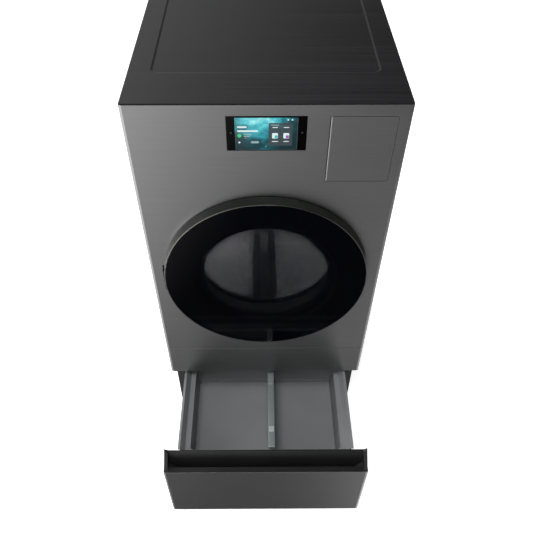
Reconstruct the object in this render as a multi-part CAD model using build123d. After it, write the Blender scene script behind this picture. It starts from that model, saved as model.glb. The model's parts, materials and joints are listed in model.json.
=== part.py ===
"""All-in-one washer dryer on a drawer pedestal, as separate named pieces in one frame.

Millimetres. The origin is on the floor under the middle of the cabinet. +X is to the right of
someone facing the door, +Y runs to the back of the machine and +Z is up. The drawer is modelled
pulled out to its stop, which is joint value 0.
"""

from build123d import *
from math import cos, pi, radians, sin
import os

# ---------------------------------------------------------------- overall sizes
WIDTH = 686.0
DEPTH = 800.0
PEDESTAL_HEIGHT = 376.0
WASHER_FOOT_HEIGHT = 11.0
FRONT_HEIGHT = 1092.0
COVER_THICKNESS = 3.0

HALF = WIDTH / 2
FRONT = -DEPTH / 2
BACK = DEPTH / 2
PANEL_BOTTOM = PEDESTAL_HEIGHT + WASHER_FOOT_HEIGHT
PANEL_TOP = PANEL_BOTTOM + FRONT_HEIGHT
TOP = PANEL_TOP + COVER_THICKNESS

STEEL = 1.5
FRONT_RETURN = 18.0
SEAM_Z = PANEL_BOTTOM + 143.0
SEAM_GAP = 1.2

# ---------------------------------------------------------------- door and drum axis
AXIS_Z = PANEL_BOTTOM + 519.0
PORTHOLE_RADIUS = 212.0
RIM_RADIUS = 305.0
GLASS_RADIUS = 298.0
RIM_BACK = FRONT - 2.0
GLASS_FACE = FRONT - 30.0
HINGE_X = -RIM_RADIUS + 3.0
HINGE_Y = FRONT - 18.0
HINGE_PIN_RADIUS = 2.2
LATCH_X = 269.0

# ---------------------------------------------------------------- tub and drum
TUB_RADIUS = 318.0
TUB_WALL = 6.0
TUB_FRONT = -345.0
TUB_SEAM = -30.0
TUB_BACK = 290.0
COLLAR_RADIUS = 215.0
DRUM_RADIUS = 298.0
DRUM_WALL = 1.0
DRUM_FRONT = -322.0
DRUM_BACK = 236.0
DRUM_MOUTH = 205.0
SPRING_X = 268.0
SPRING_Y = (-100.0, 130.0)
SPRING_TOP = PANEL_TOP - 34.0
LUG_TOP = AXIS_Z + 204.0
DAMPER_X = 190.0
DAMPER_Y = (-150.0, 130.0)
DAMPER_LUG_BOTTOM = AXIS_Z - 281.0

# ---------------------------------------------------------------- display and access door
DISPLAY_HALF_WIDTH = 96.5
DISPLAY_Z = (PANEL_BOTTOM + 968.0, PANEL_BOTTOM + 1063.0)
ACCESS_X = (150.5, 313.5)
ACCESS_Z = (PANEL_BOTTOM + 872.0, PANEL_BOTTOM + 1062.0)
ACCESS_GAP = 1.0
ACCESS_THICKNESS = 8.0
ACCESS_CORNER = 8.0
ACCESS_PIN_RADIUS = 1.9
SHELF_Z = PANEL_BOTTOM + 964.0
DISPENSER_BACK = FRONT + 270.0

# ---------------------------------------------------------------- heat pump deck above the tub
DECK_Z = (PANEL_BOTTOM + 857.0, PANEL_BOTTOM + 861.0)
DECK_X = (-244.0, 138.0)
DECK_Y = (-300.0, 370.0)
BLOWER_X, BLOWER_Y = 20.0, -60.0
BLOWER_SHAFT_RADIUS = 4.0
COMPRESSOR_X, COMPRESSOR_Y = -165.0, -170.0
AIR_PORTS = ((90.0, -250.0), (-60.0, 240.0))
AIR_PORT_RADIUS = 44.0
AIR_PORT_TOP = AXIS_Z + 320.0

# ---------------------------------------------------------------- pump and water
PUMP_X, PUMP_Z = 120.0, PANEL_BOTTOM + 53.0
PUMP_SHAFT_RADIUS = 3.0
SUMP_Y = -250.0
INLET_X = (220.0, 270.0)
INLET_Z = PANEL_BOTTOM + 1018.0
INLET_RADIUS = 13.5
INLET_END = BACK + 14.0
DRAIN_X, DRAIN_Z = -290.0, PANEL_BOTTOM + 793.0
POWER_X = -250.0
DRAIN_RADIUS = 16.0
DRAIN_END = BACK + 25.0

# ---------------------------------------------------------------- pedestal drawer
TRAVEL = 365.0
PEDESTAL_FRONT = FRONT + 80.0
PEDESTAL_BACK = BACK - 4.0
PEDESTAL_FLOOR = 30.0
FACE_Z = (13.0, 329.0)
SCOOP_BACK = FRONT + 63.0
SCOOP_BOTTOM = 262.0
BIN_WALL = 3.0
BIN_FLOOR = 200.0
BIN_LEDGE = 335.0
BIN_RIM = 368.0
BIN_HALF_FLOOR = 257.0
BIN_HALF_LEDGE = 258.5
BIN_HALF_STEP = 276.0
BIN_HALF_RIM = 289.0
BIN_BACK = SCOOP_BACK + 384.0
WELL_INSET = (14.0, 8.0)
RAIL_INNER_X = BIN_HALF_LEDGE + BIN_WALL + 0.1
RAIL_Z = 240.0
RAIL_LENGTH = 440.0
RAIL_START = SCOOP_BACK + 23.0


# ---------------------------------------------------------------- shape helpers
def block(x, y, z):
    """A box between low and high limits along each axis."""
    sizes = [limits[1] - limits[0] for limits in (x, y, z)]
    middle = [(limits[0] + limits[1]) / 2 for limits in (x, y, z)]
    return Pos(*middle) * Box(*sizes)


def rod_x(radius, x, y, z):
    """A cylinder along X between the limits x."""
    return Pos((x[0] + x[1]) / 2, y, z) * Rot(0, 90, 0) * Cylinder(radius, x[1] - x[0])


def rod_y(radius, y, x=0.0, z=AXIS_Z):
    """A cylinder along Y between the limits y, on the drum axis unless told otherwise."""
    return Pos(x, (y[0] + y[1]) / 2, z) * Rot(90, 0, 0) * Cylinder(radius, y[1] - y[0])


def rod_z(radius, z, x=0.0, y=0.0):
    """A cylinder along Z between the limits z."""
    return Pos(x, y, (z[0] + z[1]) / 2) * Cylinder(radius, z[1] - z[0])


def ring_y(outer, inner, y, x=0.0, z=AXIS_Z):
    """A flat ring about an axis along Y."""
    return rod_y(outer, y, x, z) - rod_y(inner, y, x, z)


def turned(outline, x=0.0, z=AXIS_Z):
    """A solid of revolution about Y from a closed outline of (radius, y) points."""
    face = make_face(Polyline(*outline, close=True))
    return Pos(x, 0, z) * revolve(face, Axis.Y)


def prism_x(outline, x):
    """An outline of (y, z) points drawn out between the limits x."""
    face = make_face(Plane.YZ * Polyline(*outline, close=True))
    return Pos(x[0], 0, 0) * extrude(face, x[1] - x[0], dir=(1, 0, 0))


def prism_y(outline, y):
    """An outline of (x, z) points drawn out between the limits y."""
    points = [(px, y[0], pz) for px, pz in outline]
    face = make_face(Polyline(*points, close=True))
    return extrude(face, y[1] - y[0], dir=(0, 1, 0))


def rounded_slab(half_width, y, z, corner):
    """A slab centred on X = 0 whose four upright corners are rounded."""
    outline = RectangleRounded(2 * half_width, y[1] - y[0], corner)
    return Pos(0, (y[0] + y[1]) / 2, z[0]) * extrude(outline, z[1] - z[0])


def pair(shape):
    """The piece and its mirror image on the other side of the cabinet."""
    return [shape, mirror(shape, about=Plane.YZ)]


def opened(shape):
    """The piece moved out with the drawer, by the drawer's full travel."""
    return Pos(0, -TRAVEL, 0) * shape


def export(name, *shapes):
    """Writes one node as a STEP file of its separate solids."""
    solids = [solid for shape in shapes for solid in shape.solids()]
    export_step(Compound(solids), os.path.join("parts", name + ".step"))


# ---------------------------------------------------------------- pedestal
def pedestal_panels():
    """Two side sheets with a return flange at the front, and a back sheet between them."""
    upright = (PEDESTAL_FLOOR, PEDESTAL_HEIGHT - 3)
    flange = 26.0
    side = block((-HALF, -HALF + 2), (PEDESTAL_FRONT, PEDESTAL_BACK), upright)
    side += block((-HALF, -HALF + flange), (PEDESTAL_FRONT, PEDESTAL_FRONT + 2), upright)
    back = block((-HALF + 2, HALF - 2), (PEDESTAL_BACK - 2, PEDESTAL_BACK), upright)
    return [*pair(side), back]


def pedestal_base():
    """The floor plate, drilled for the four levelling feet."""
    plate = block((-HALF, HALF), (PEDESTAL_FRONT, PEDESTAL_BACK), (PEDESTAL_FLOOR - 2, PEDESTAL_FLOOR))
    for x, y in foot_places():
        plate -= rod_z(6.4, (PEDESTAL_FLOOR - 5, PEDESTAL_FLOOR + 1), x, y)
    return plate


def pedestal_top():
    """The plate the washer stands on."""
    return block((-HALF, HALF), (PEDESTAL_FRONT, PEDESTAL_BACK), (PEDESTAL_HEIGHT - 3, PEDESTAL_HEIGHT))


def foot_places():
    """Where the four levelling feet stand."""
    inset = 45.0
    ys = (PEDESTAL_FRONT + inset, PEDESTAL_BACK - inset)
    return [(x, y) for x in (-HALF + inset, HALF - inset) for y in ys]


def pedestal_feet():
    """Four levelling feet: a pad, a threaded stem, a collar under the plate and a lock nut on it."""
    feet = []
    for x, y in foot_places():
        pad = Cone(24, 19, 10)
        foot = Pos(x, y, 5) * pad
        foot += rod_z(6, (10, PEDESTAL_FLOOR + 22), x, y)
        foot += rod_z(12, (PEDESTAL_FLOOR - 6, PEDESTAL_FLOOR - 2), x, y)
        nut = extrude(RegularPolygon(11, 6), 8)
        foot += Pos(x, y, PEDESTAL_FLOOR) * nut
        feet.append(foot)
    return feet


def channel(web_x, reach, half_height, start):
    """A C channel along Y with its web outboard and its lips pointing to the drawer."""
    sheet = 2.0
    y = (start, start + RAIL_LENGTH)
    shape = block((web_x, web_x + sheet), y, (RAIL_Z - half_height, RAIL_Z + half_height))
    for low in (RAIL_Z - half_height, RAIL_Z + half_height - sheet):
        shape += block((web_x - reach, web_x), y, (low, low + sheet))
    return shape


def rail_outer():
    """The members fixed to the pedestal's sides, each on two brackets."""
    web = RAIL_INNER_X + 26
    rail = channel(web, 16, 22, PEDESTAL_FRONT + 6)
    for y in (PEDESTAL_FRONT + 30, PEDESTAL_FRONT + 380):
        rail += block((web + 2, HALF - 2), (y, y + 24), (RAIL_Z - 14, RAIL_Z + 14))
    return pair(rail)


def rail_middle():
    """The members that carry the drawer half way."""
    return pair(channel(RAIL_INNER_X + 23, 16, 19.4, PEDESTAL_FRONT + 6 - TRAVEL / 2))


def rail_inner():
    """The members screwed to the drawer bin, with their web against it."""
    sheet = 2.0
    half_height = 16.8
    y = (RAIL_START - 16, RAIL_START - 16 + RAIL_LENGTH - 8)
    inner = RAIL_INNER_X
    rail = block((inner, inner + sheet), y, (RAIL_Z - half_height, RAIL_Z + half_height))
    for low in (RAIL_Z - half_height, RAIL_Z + half_height - sheet):
        rail += block((inner + sheet, inner + 20), y, (low, low + sheet))
    return [opened(shape) for shape in pair(rail)]


# ---------------------------------------------------------------- pedestal drawer
def shell_outline(inset, back):
    """The front's plan outline: straight returns and a shallow chamfer down each upright edge."""
    side, face = HALF - inset, FRONT + inset
    chamfer_x, chamfer_y = 7.0, 3.0
    half = [(side, back), (side, face + chamfer_y), (side - chamfer_x, face)]
    return half + [(-x, y) for x, y in reversed(half)]


def upright_prism(outline, z):
    """An outline of (x, y) points drawn up between the limits z."""
    points = [(px, py, z[0]) for px, py in outline]
    return extrude(make_face(Polyline(*points, close=True)), z[1] - z[0], dir=(0, 0, 1))


def front_shell(z, open_top=False):
    """A folded steel front: a face with chamfered upright edges and returns behind it."""
    back = FRONT + FRONT_RETURN
    top = z[1] + 1 if open_top else z[1] - STEEL
    outside = upright_prism(shell_outline(0.0, back), z)
    return outside - upright_prism(shell_outline(STEEL, back + 1), (z[0] + STEEL, top))


def drawer_face():
    """The drawer's steel front, open along its top where the hand scoop drops in."""
    return opened(front_shell(FACE_Z, open_top=True))


def face_brackets():
    """Two folded uprights that hold the steel front off the bin."""
    y = (FRONT + STEEL, SCOOP_BACK + WELL_INSET[0])
    z = (FACE_Z[0] + STEEL + 46, SCOOP_BOTTOM)
    web = block((250, 252), y, z)
    front = block((230, 270), (y[0], y[0] + 2), z)
    back = block((230, 256), (y[1] - 2, y[1]), z)
    return [opened(shape) for shape in pair(web + front + back)]


def drawer_scoop():
    """The black moulding above the steel front: a lip, a sloping hand channel and two cheeks."""
    reach = HALF - 2.0
    lip_front, lip_back = FRONT + STEEL + 0.1, FRONT + 20
    lip_top = FACE_Z[1] - 0.5
    channel_floor, back_top = 274.0, PEDESTAL_HEIGHT - 8
    cheek = 12.0
    x = (-reach, reach)
    profile = [
        (lip_front, SCOOP_BOTTOM), (lip_front, lip_top), (lip_back, lip_top),
        (lip_back + 3, channel_floor), (lip_back + 11, channel_floor),
        (SCOOP_BACK - 5, back_top), (SCOOP_BACK, back_top), (SCOOP_BACK, SCOOP_BOTTOM),
    ]
    scoop = prism_x(profile, x)
    scoop &= upright_prism(shell_outline(2.0, SCOOP_BACK + 1), (SCOOP_BOTTOM - 1, PEDESTAL_HEIGHT))
    lip_hollow = (FRONT + STEEL + 3, lip_back - 3)
    scoop -= block((-reach + 3, reach - 3), lip_hollow, (SCOOP_BOTTOM - 1, lip_top - 3))
    back_hollow = [
        (lip_back + 15, SCOOP_BOTTOM - 1), (SCOOP_BACK - 3, back_top - 22), (SCOOP_BACK - 3, SCOOP_BOTTOM - 1),
    ]
    scoop -= prism_x(back_hollow, (-reach + 3, reach - 3))
    cheek_profile = [
        (lip_back - 2, channel_floor), (lip_front + 3.2, lip_top), (SCOOP_BACK - 3, PEDESTAL_HEIGHT),
        (SCOOP_BACK, PEDESTAL_HEIGHT), (SCOOP_BACK, channel_floor),
    ]
    wedge = [(reach - cheek, channel_floor), (reach - cheek - 44, channel_floor), (reach - cheek, 322.0)]
    above = [
        (reach - cheek, back_top), (reach, PEDESTAL_HEIGHT), (reach + 1, PEDESTAL_HEIGHT),
        (reach + 1, PEDESTAL_HEIGHT + 9), (reach - cheek, PEDESTAL_HEIGHT + 9),
    ]
    for side in (1, -1):
        ends = sorted((side * (reach - cheek), side * reach))
        scoop += prism_x(cheek_profile, tuple(ends))
        scoop -= prism_y([(side * px, pz) for px, pz in above], (lip_front, SCOOP_BACK + 1))
        corner = prism_y([(side * px, pz) for px, pz in wedge], (lip_back, SCOOP_BACK - 4))
        scoop += corner & prism_x(
            [(lip_back - 1, 270), (lip_back - 1, 324), (SCOOP_BACK - 22, 324), (SCOOP_BACK - 30, 270)], x
        )
    return opened(scoop)


def tapered(low, high, y, corner):
    """A slab with rounded upright corners that widens from (half width, z) low to high."""
    sections = []
    for half_width, z in (low, high):
        outline = RectangleRounded(2 * half_width, y[1] - y[0], corner)
        sections.append(Pos(0, (y[0] + y[1]) / 2, z) * outline)
    return loft(sections)


def drawer_bin():
    """The moulded bin: a well, a ledge all round it, and a flared band up to the rim."""
    y = (SCOOP_BACK, BIN_BACK)
    inside = (y[0] + BIN_WALL, y[1] - BIN_WALL)
    well = ((BIN_HALF_FLOOR, BIN_FLOOR), (BIN_HALF_LEDGE, BIN_LEDGE))
    band = ((BIN_HALF_STEP, BIN_LEDGE), (BIN_HALF_RIM, BIN_RIM))
    well_y = (inside[0] + WELL_INSET[0], inside[1] - WELL_INSET[1])
    outside = (well_y[0] - BIN_WALL, well_y[1] + BIN_WALL)
    shape = tapered((BIN_HALF_FLOOR + BIN_WALL, BIN_FLOOR - BIN_WALL), (well[1][0] + BIN_WALL, BIN_LEDGE), outside, 15)
    shape += tapered((BIN_HALF_STEP + BIN_WALL, BIN_LEDGE - BIN_WALL), (band[1][0] + BIN_WALL, BIN_RIM), y, 6)
    shape += rounded_slab(BIN_HALF_RIM + 8, (y[0], y[1] + 4), (BIN_RIM - 3, BIN_RIM), 4)
    shape -= tapered(*well, well_y, 12)
    shape -= tapered(*band, inside, 3)
    shape -= block((-HALF, HALF), (y[0] - 1, y[0] + BIN_WALL), (BIN_RIM - 8, BIN_RIM + 1))
    return opened(shape)


DIVIDER_X = (10.0, 33.0)
DIVIDER_TOP = 350.0


def drawer_divider():
    """The wall that parts the bin in two, with a wide cap on top of it."""
    y = (SCOOP_BACK + BIN_WALL + WELL_INSET[0], BIN_BACK - BIN_WALL - WELL_INSET[1])
    inset = 5.0
    wall = block((DIVIDER_X[0] + inset, DIVIDER_X[1] - inset), y, (BIN_FLOOR, DIVIDER_TOP - 10))
    cap = block(DIVIDER_X, y, (DIVIDER_TOP - 10, DIVIDER_TOP))
    cap = fillet(cap.edges().filter_by(Axis.Y).group_by(Axis.Z)[-1], 2.0)
    return opened(wall + cap)


# ---------------------------------------------------------------- washer cabinet
def base_pan():
    """The steel pan the pump and the dampers stand on."""
    x = (-HALF + 2, HALF - 2)
    return block(x, (FRONT + 20, BACK - 6), (PANEL_BOTTOM + 3, PANEL_BOTTOM + 5))


def washer_feet():
    """Four short feet that stand the washer on its pedestal."""
    inset = 50.0
    z = (PEDESTAL_HEIGHT, PANEL_BOTTOM + 3)
    places = [(x, y) for x in (-HALF + inset, HALF - inset) for y in (PEDESTAL_FRONT + inset, BACK - 60)]
    return [rod_z(20, z, x, y) for x, y in places]


def side_panels():
    """The side sheets, each with a return flange behind the front panel."""
    upright = (PANEL_BOTTOM + 2, PANEL_TOP)
    start = FRONT + FRONT_RETURN + 0.5
    sheet = block((-HALF, -HALF + 1.2), (start, BACK - 2), upright)
    sheet += block((-HALF, -HALF + 14), (start, start + 1.2), upright)
    return pair(sheet)


def access_cutout(y):
    """The hole in the front panel for the access door, with tighter corners where it is hinged."""
    hole = block(ACCESS_X, y, ACCESS_Z)
    hole = fillet(hole.edges().filter_by(Axis.Y).group_by(Axis.X)[-1], ACCESS_CORNER + ACCESS_GAP)
    return fillet(hole.edges().filter_by(Axis.Y).group_by(Axis.X)[0], 2.5)


def front_panel():
    """The steel front around the porthole, with cut-outs for the display, access door and latch."""
    z = (SEAM_Z + SEAM_GAP / 2, PANEL_TOP)
    through = (FRONT - 1, FRONT + STEEL + 1)
    panel = front_shell(z)
    panel -= rod_y(PORTHOLE_RADIUS, through)
    panel += ring_y(PORTHOLE_RADIUS, PORTHOLE_RADIUS - STEEL, (FRONT, FRONT + 16))
    display_x = (-DISPLAY_HALF_WIDTH - 0.5, DISPLAY_HALF_WIDTH + 0.5)
    panel -= block(display_x, through, (DISPLAY_Z[0] - 0.5, DISPLAY_Z[1] + 0.5))
    panel -= access_cutout(through)
    panel -= block((LATCH_X - 7, LATCH_X + 7), through, (AXIS_Z - 18, AXIS_Z + 18))
    for side in (-1, 1):
        slot = sorted((AXIS_Z + side * 24, AXIS_Z + side * 44))
        panel -= block((HINGE_X - 5, HINGE_X + 5), through, slot)
    return panel


def lower_front_panel():
    """The plain service panel below the seam."""
    return front_shell((PANEL_BOTTOM, SEAM_Z - SEAM_GAP / 2))


GROOVE_HALF_WIDTH = 287.0
GROOVE_Y = (FRONT + 143.0, BACK - 55.0)
GROOVE_DEPTH = 1.6
GROOVE_SLOPE = 5.0


def top_cover():
    """The lid of the cabinet with a shallow pressed field."""
    plate = block((-HALF, HALF), (FRONT + 3, BACK), (PANEL_TOP, TOP))
    plate = fillet(plate.edges().group_by(Axis.Z)[-1], 1.2)
    field = rounded_slab(GROOVE_HALF_WIDTH, GROOVE_Y, (TOP, TOP + 1), 22)
    inner_y = (GROOVE_Y[0] + GROOVE_SLOPE, GROOVE_Y[1] - GROOVE_SLOPE)
    middle_y = (GROOVE_Y[0] + GROOVE_Y[1]) / 2
    inner = RectangleRounded(2 * (GROOVE_HALF_WIDTH - GROOVE_SLOPE), inner_y[1] - inner_y[0], 22 - GROOVE_SLOPE)
    outer = RectangleRounded(2 * GROOVE_HALF_WIDTH, GROOVE_Y[1] - GROOVE_Y[0], 22)
    slope = loft([Pos(0, middle_y, TOP - GROOVE_DEPTH) * inner, Pos(0, middle_y, TOP) * outer])
    return plate - (slope + field)


def back_panel():
    """The back sheet with its pipe holes, and the raised service cover screwed over the motor."""
    y = (BACK - 3.2, BACK - 2)
    sheet = block((-HALF + 1.2, HALF - 1.2), y, (PANEL_BOTTOM + 2, PANEL_TOP))
    through = (y[0] - 1, y[1] + 1)
    sheet -= block((-150, 150), through, (AXIS_Z - 150, AXIS_Z + 150))
    for x in INLET_X:
        sheet -= rod_y(INLET_RADIUS + 1.5, through, x, INLET_Z)
    sheet -= rod_y(DRAIN_RADIUS + 1.5, through, DRAIN_X, DRAIN_Z)
    sheet -= block((POWER_X - 18, POWER_X + 18), through, (INLET_Z - 14, INLET_Z + 14))
    cover = block((-170, 170), (BACK - 2, BACK), (AXIS_Z - 170, AXIS_Z + 170))
    cover = fillet(cover.edges().filter_by(Axis.Y), 20)
    return [sheet, cover]


def cross_braces():
    """Two box bars between the side panels that carry the springs, and one behind the front."""
    x = (-HALF + 1.2, HALF - 1.2)
    bars = []
    for y in SPRING_Y:
        bar = block(x, (y - 15, y + 15), (SPRING_TOP, PANEL_TOP))
        bars.append(bar - block(x, (y - 13, y + 13), (SPRING_TOP + 2, PANEL_TOP - 2)))
    front = block((-HALF + 16, HALF - 16), (FRONT + 21, FRONT + 41), (PANEL_TOP - 22, PANEL_TOP))
    bars.append(front - block((-HALF + 16, HALF - 16), (FRONT + 23, FRONT + 42), (PANEL_TOP - 20, PANEL_TOP - 2)))
    return bars


def display_glass():
    """The black cover glass of the touch display."""
    x = (-DISPLAY_HALF_WIDTH, DISPLAY_HALF_WIDTH)
    glass = block(x, (FRONT - 1, FRONT + 2.5), DISPLAY_Z)
    glass = fillet(glass.edges().filter_by(Axis.Y), 3.0)
    return chamfer(glass.faces().sort_by(Axis.Y)[0].edges(), 0.5)


def display_module():
    """The screen and control board in their housing behind the glass."""
    housing = block((-92, 92), (FRONT + 2.5, FRONT + 28), (DISPLAY_Z[0] + 3, DISPLAY_Z[1] - 3))
    board = block((-80, 80), (FRONT + 28, FRONT + 34), (DISPLAY_Z[0] + 8, DISPLAY_Z[1] - 8))
    return housing + board


# ---------------------------------------------------------------- access door and what is behind it
def access_door():
    """A flush steel door that turns about its own rounded left edge on two short pins."""
    half = ACCESS_THICKNESS / 2
    pin_x = ACCESS_X[0] + ACCESS_GAP + half
    z = (ACCESS_Z[0] + ACCESS_GAP, ACCESS_Z[1] - ACCESS_GAP)
    y = (FRONT, FRONT + ACCESS_THICKNESS)
    leaf = block((pin_x, ACCESS_X[1] - ACCESS_GAP), y, z)
    leaf = fillet(leaf.edges().filter_by(Axis.Y).group_by(Axis.X)[-1], ACCESS_CORNER)
    leaf -= block((pin_x + 12, ACCESS_X[1] - 12), (FRONT + 2, FRONT + ACCESS_THICKNESS + 1), (z[0] + 10, z[1] - 10))
    leaf += rod_z(half, z, pin_x, FRONT + half)
    leaf += rod_z(ACCESS_PIN_RADIUS, (z[0] - 5, z[1] + 5), pin_x, FRONT + half)
    catch_x = (ACCESS_X[1] - 22, ACCESS_X[1] - 14)
    catch_z = (SHELF_Z - 3, SHELF_Z + 3)
    return leaf + block(catch_x, (FRONT + 1.9, FRONT + 14), catch_z)


def access_frame():
    """The frame behind the front panel that holds the door's pins and the push catch."""
    outer_x = (ACCESS_X[0] - 10, ACCESS_X[1] + 10)
    outer_z = (ACCESS_Z[0] - 10, ACCESS_Z[1] + 10)
    y = (FRONT + STEEL, FRONT + 12)
    frame = block(outer_x, y, outer_z) - block(ACCESS_X, (y[0] - 1, y[1] + 1), ACCESS_Z)
    pin_x = ACCESS_X[0] + ACCESS_GAP + ACCESS_THICKNESS / 2
    pin_y = FRONT + ACCESS_THICKNESS / 2
    return frame - rod_z(ACCESS_PIN_RADIUS + 0.1, (ACCESS_Z[0] - 6, ACCESS_Z[1] + 6), pin_x, pin_y)


def dispenser_housing():
    """An open-fronted box with a shelf, notched for the door's catch, between drawer and filter."""
    x = (ACCESS_X[0] - 5, ACCESS_X[1] + 5)
    z = (ACCESS_Z[0] - 6, ACCESS_Z[1] + 6)
    y = (FRONT + 12, DISPENSER_BACK)
    wall = 3.0
    inside_x = (x[0] + wall, x[1] - wall)
    inside_y = (y[0] - 1, y[1] - wall)
    box = block(x, y, z)
    box -= block(inside_x, inside_y, (SHELF_Z + wall / 2, z[1] - wall))
    box -= block((ACCESS_X[1] - 25, ACCESS_X[1] - 11), (y[0] - 1, y[0] + 5), (SHELF_Z - 2, SHELF_Z + 2))
    return box - block(inside_x, inside_y, (z[0] + wall, SHELF_Z - wall / 2))


def dispenser_drawer():
    """The detergent drawer: two dosing tanks under closed lids behind one front."""
    x = (ACCESS_X[0] + 1, ACCESS_X[1] - 1)
    z = (SHELF_Z + 4, ACCESS_Z[1] - 1)
    front = block(x, (FRONT + 16, FRONT + 22), z)
    grip = block((180, 284), (FRONT + 15, FRONT + 19), (z[1] - 26, z[1] - 8))
    body = block((x[0] + 4, x[1] - 4), (FRONT + 22, DISPENSER_BACK - 8), (z[0], z[1] - 4))
    tank_z = (z[0] + 3, z[1] - 7)
    for tank_x in ((x[0] + 7, 229), (234, x[1] - 7)):
        body -= block(tank_x, (FRONT + 26, DISPENSER_BACK - 12), tank_z)
    return front - grip + body


def lint_filter():
    """The lint filter cartridge: a front with a grip and a cage that stands in the air path."""
    x = (ACCESS_X[0] + 1, ACCESS_X[1] - 1)
    z = (ACCESS_Z[0] + 1, SHELF_Z - 4)
    front = block(x, (FRONT + 16, FRONT + 22), z)
    front -= block((200, 264), (FRONT + 15, FRONT + 19), (z[0] + 30, z[1] - 30))
    cage_y = (FRONT + 22, FRONT + 220)
    cage = block((x[0] + 6, x[1] - 6), cage_y, (z[0] + 4, z[1] - 4))
    cage -= block((x[0] + 9, x[1] - 9), (cage_y[0] + 3, cage_y[1] + 1), (z[0] + 7, z[1] - 7))
    return front + cage


# ---------------------------------------------------------------- heat pump
def heat_pump_deck():
    """The plate above the tub that carries the heat pump, with two air ports and four hangers."""
    deck = block(DECK_X, DECK_Y, DECK_Z)
    for x, y in AIR_PORTS:
        deck -= rod_z(AIR_PORT_RADIUS, (DECK_Z[0] - 1, DECK_Z[1] + 1), x, y)
    for y in SPRING_Y:
        for x in (DECK_X[0], DECK_X[1] - 3):
            deck += block((x, x + 3), (y - 12, y + 12), (DECK_Z[0], SPRING_TOP))
    return deck


CASE_X = (-236.0, 124.0)
CASE_Y = (70.0, 362.0)
CASE_TOP = SPRING_TOP - 3.0
COIL_Z = (DECK_Z[1] + 8, CASE_TOP - 12)


def heat_exchanger_case():
    """The cover over the two coils, open underneath onto the deck."""
    wall = 3.0
    case = block(CASE_X, CASE_Y, (DECK_Z[1] + 4.1, CASE_TOP))
    case = fillet(case.edges().filter_by(Axis.Z), 14)
    inside_x = (CASE_X[0] + wall, CASE_X[1] - wall)
    inside_y = (CASE_Y[0] + wall, CASE_Y[1] - wall)
    return case - block(inside_x, inside_y, (DECK_Z[1], CASE_TOP - wall))


def coil(y):
    """A row of upright fins on five tubes, whose ends stand out past the last fins."""
    x = (CASE_X[0] + 26, CASE_X[1] - 26)
    fins, rows = 18, 5
    step = (x[1] - x[0] - 2) / (fins - 1)
    shapes = [block((x[0] + step * n, x[0] + step * n + 2), y, COIL_Z) for n in range(fins)]
    pitch = (COIL_Z[1] - COIL_Z[0]) / rows
    for row in range(rows):
        z = COIL_Z[0] + pitch * (row + 0.5)
        shapes.append(rod_x(5, (x[0] - 14, x[1] + 14), (y[0] + y[1]) / 2, z))
    return shapes[-1].fuse(*shapes[:-1])


def coils():
    """The condenser in front and the thinner evaporator behind it."""
    return [coil((CASE_Y[0] + 40, CASE_Y[0] + 110)), coil((CASE_Y[0] + 130, CASE_Y[0] + 190))]


def compressor():
    """The sealed compressor: a domed can on a three-lobed foot, with its accumulator beside it."""
    foot_z = (DECK_Z[1], DECK_Z[1] + 8)
    can_z = (foot_z[1], foot_z[1] + 150)
    can = rod_z(62, can_z, COMPRESSOR_X, COMPRESSOR_Y)
    can = fillet(can.edges().group_by(Axis.Z)[-1], 26)
    for turn in range(3):
        angle = radians(90 + 120 * turn)
        can += rod_z(16, foot_z, COMPRESSOR_X + 62 * cos(angle), COMPRESSOR_Y + 62 * sin(angle))
    can += rod_z(62, foot_z, COMPRESSOR_X, COMPRESSOR_Y)
    accumulator = rod_z(22, (can_z[0] + 30, can_z[0] + 120), COMPRESSOR_X + 92, COMPRESSOR_Y)
    neck = rod_x(7, (COMPRESSOR_X + 50, COMPRESSOR_X + 80), COMPRESSOR_Y, can_z[0] + 60)
    return can + fillet(accumulator.edges(), 8) + neck


def refrigerant_pipes():
    """Copper pipes from the compressor to the two coils."""
    radius = 4.0
    top = COMPRESSOR_TOP
    routes = [
        [(COMPRESSOR_X, COMPRESSOR_Y, top), (COMPRESSOR_X, COMPRESSOR_Y, top + 22),
         (COMPRESSOR_X - 40, COMPRESSOR_Y + 60, top + 22), (CASE_X[0] + 30, CASE_Y[0] - 30, top - 30),
         (CASE_X[0] + 30, CASE_Y[0] - 0.2, top - 30)],
        [(COMPRESSOR_X + 92, COMPRESSOR_Y, top - 28), (COMPRESSOR_X + 92, COMPRESSOR_Y, top + 6),
         (COMPRESSOR_X + 60, COMPRESSOR_Y + 90, top + 10), (CASE_X[0] + 90, CASE_Y[0] - 34, top - 60),
         (CASE_X[0] + 90, CASE_Y[0] - 0.2, top - 60)],
    ]
    pipes = []
    for route in routes:
        path = FilletPolyline(*route, radius=10)
        section = Plane(origin=path @ 0, z_dir=path % 0) * (Circle(radius) - Circle(radius - 1))
        pipes.append(sweep(section, path=path))
    return pipes


COMPRESSOR_TOP = DECK_Z[1] + 158.0


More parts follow.
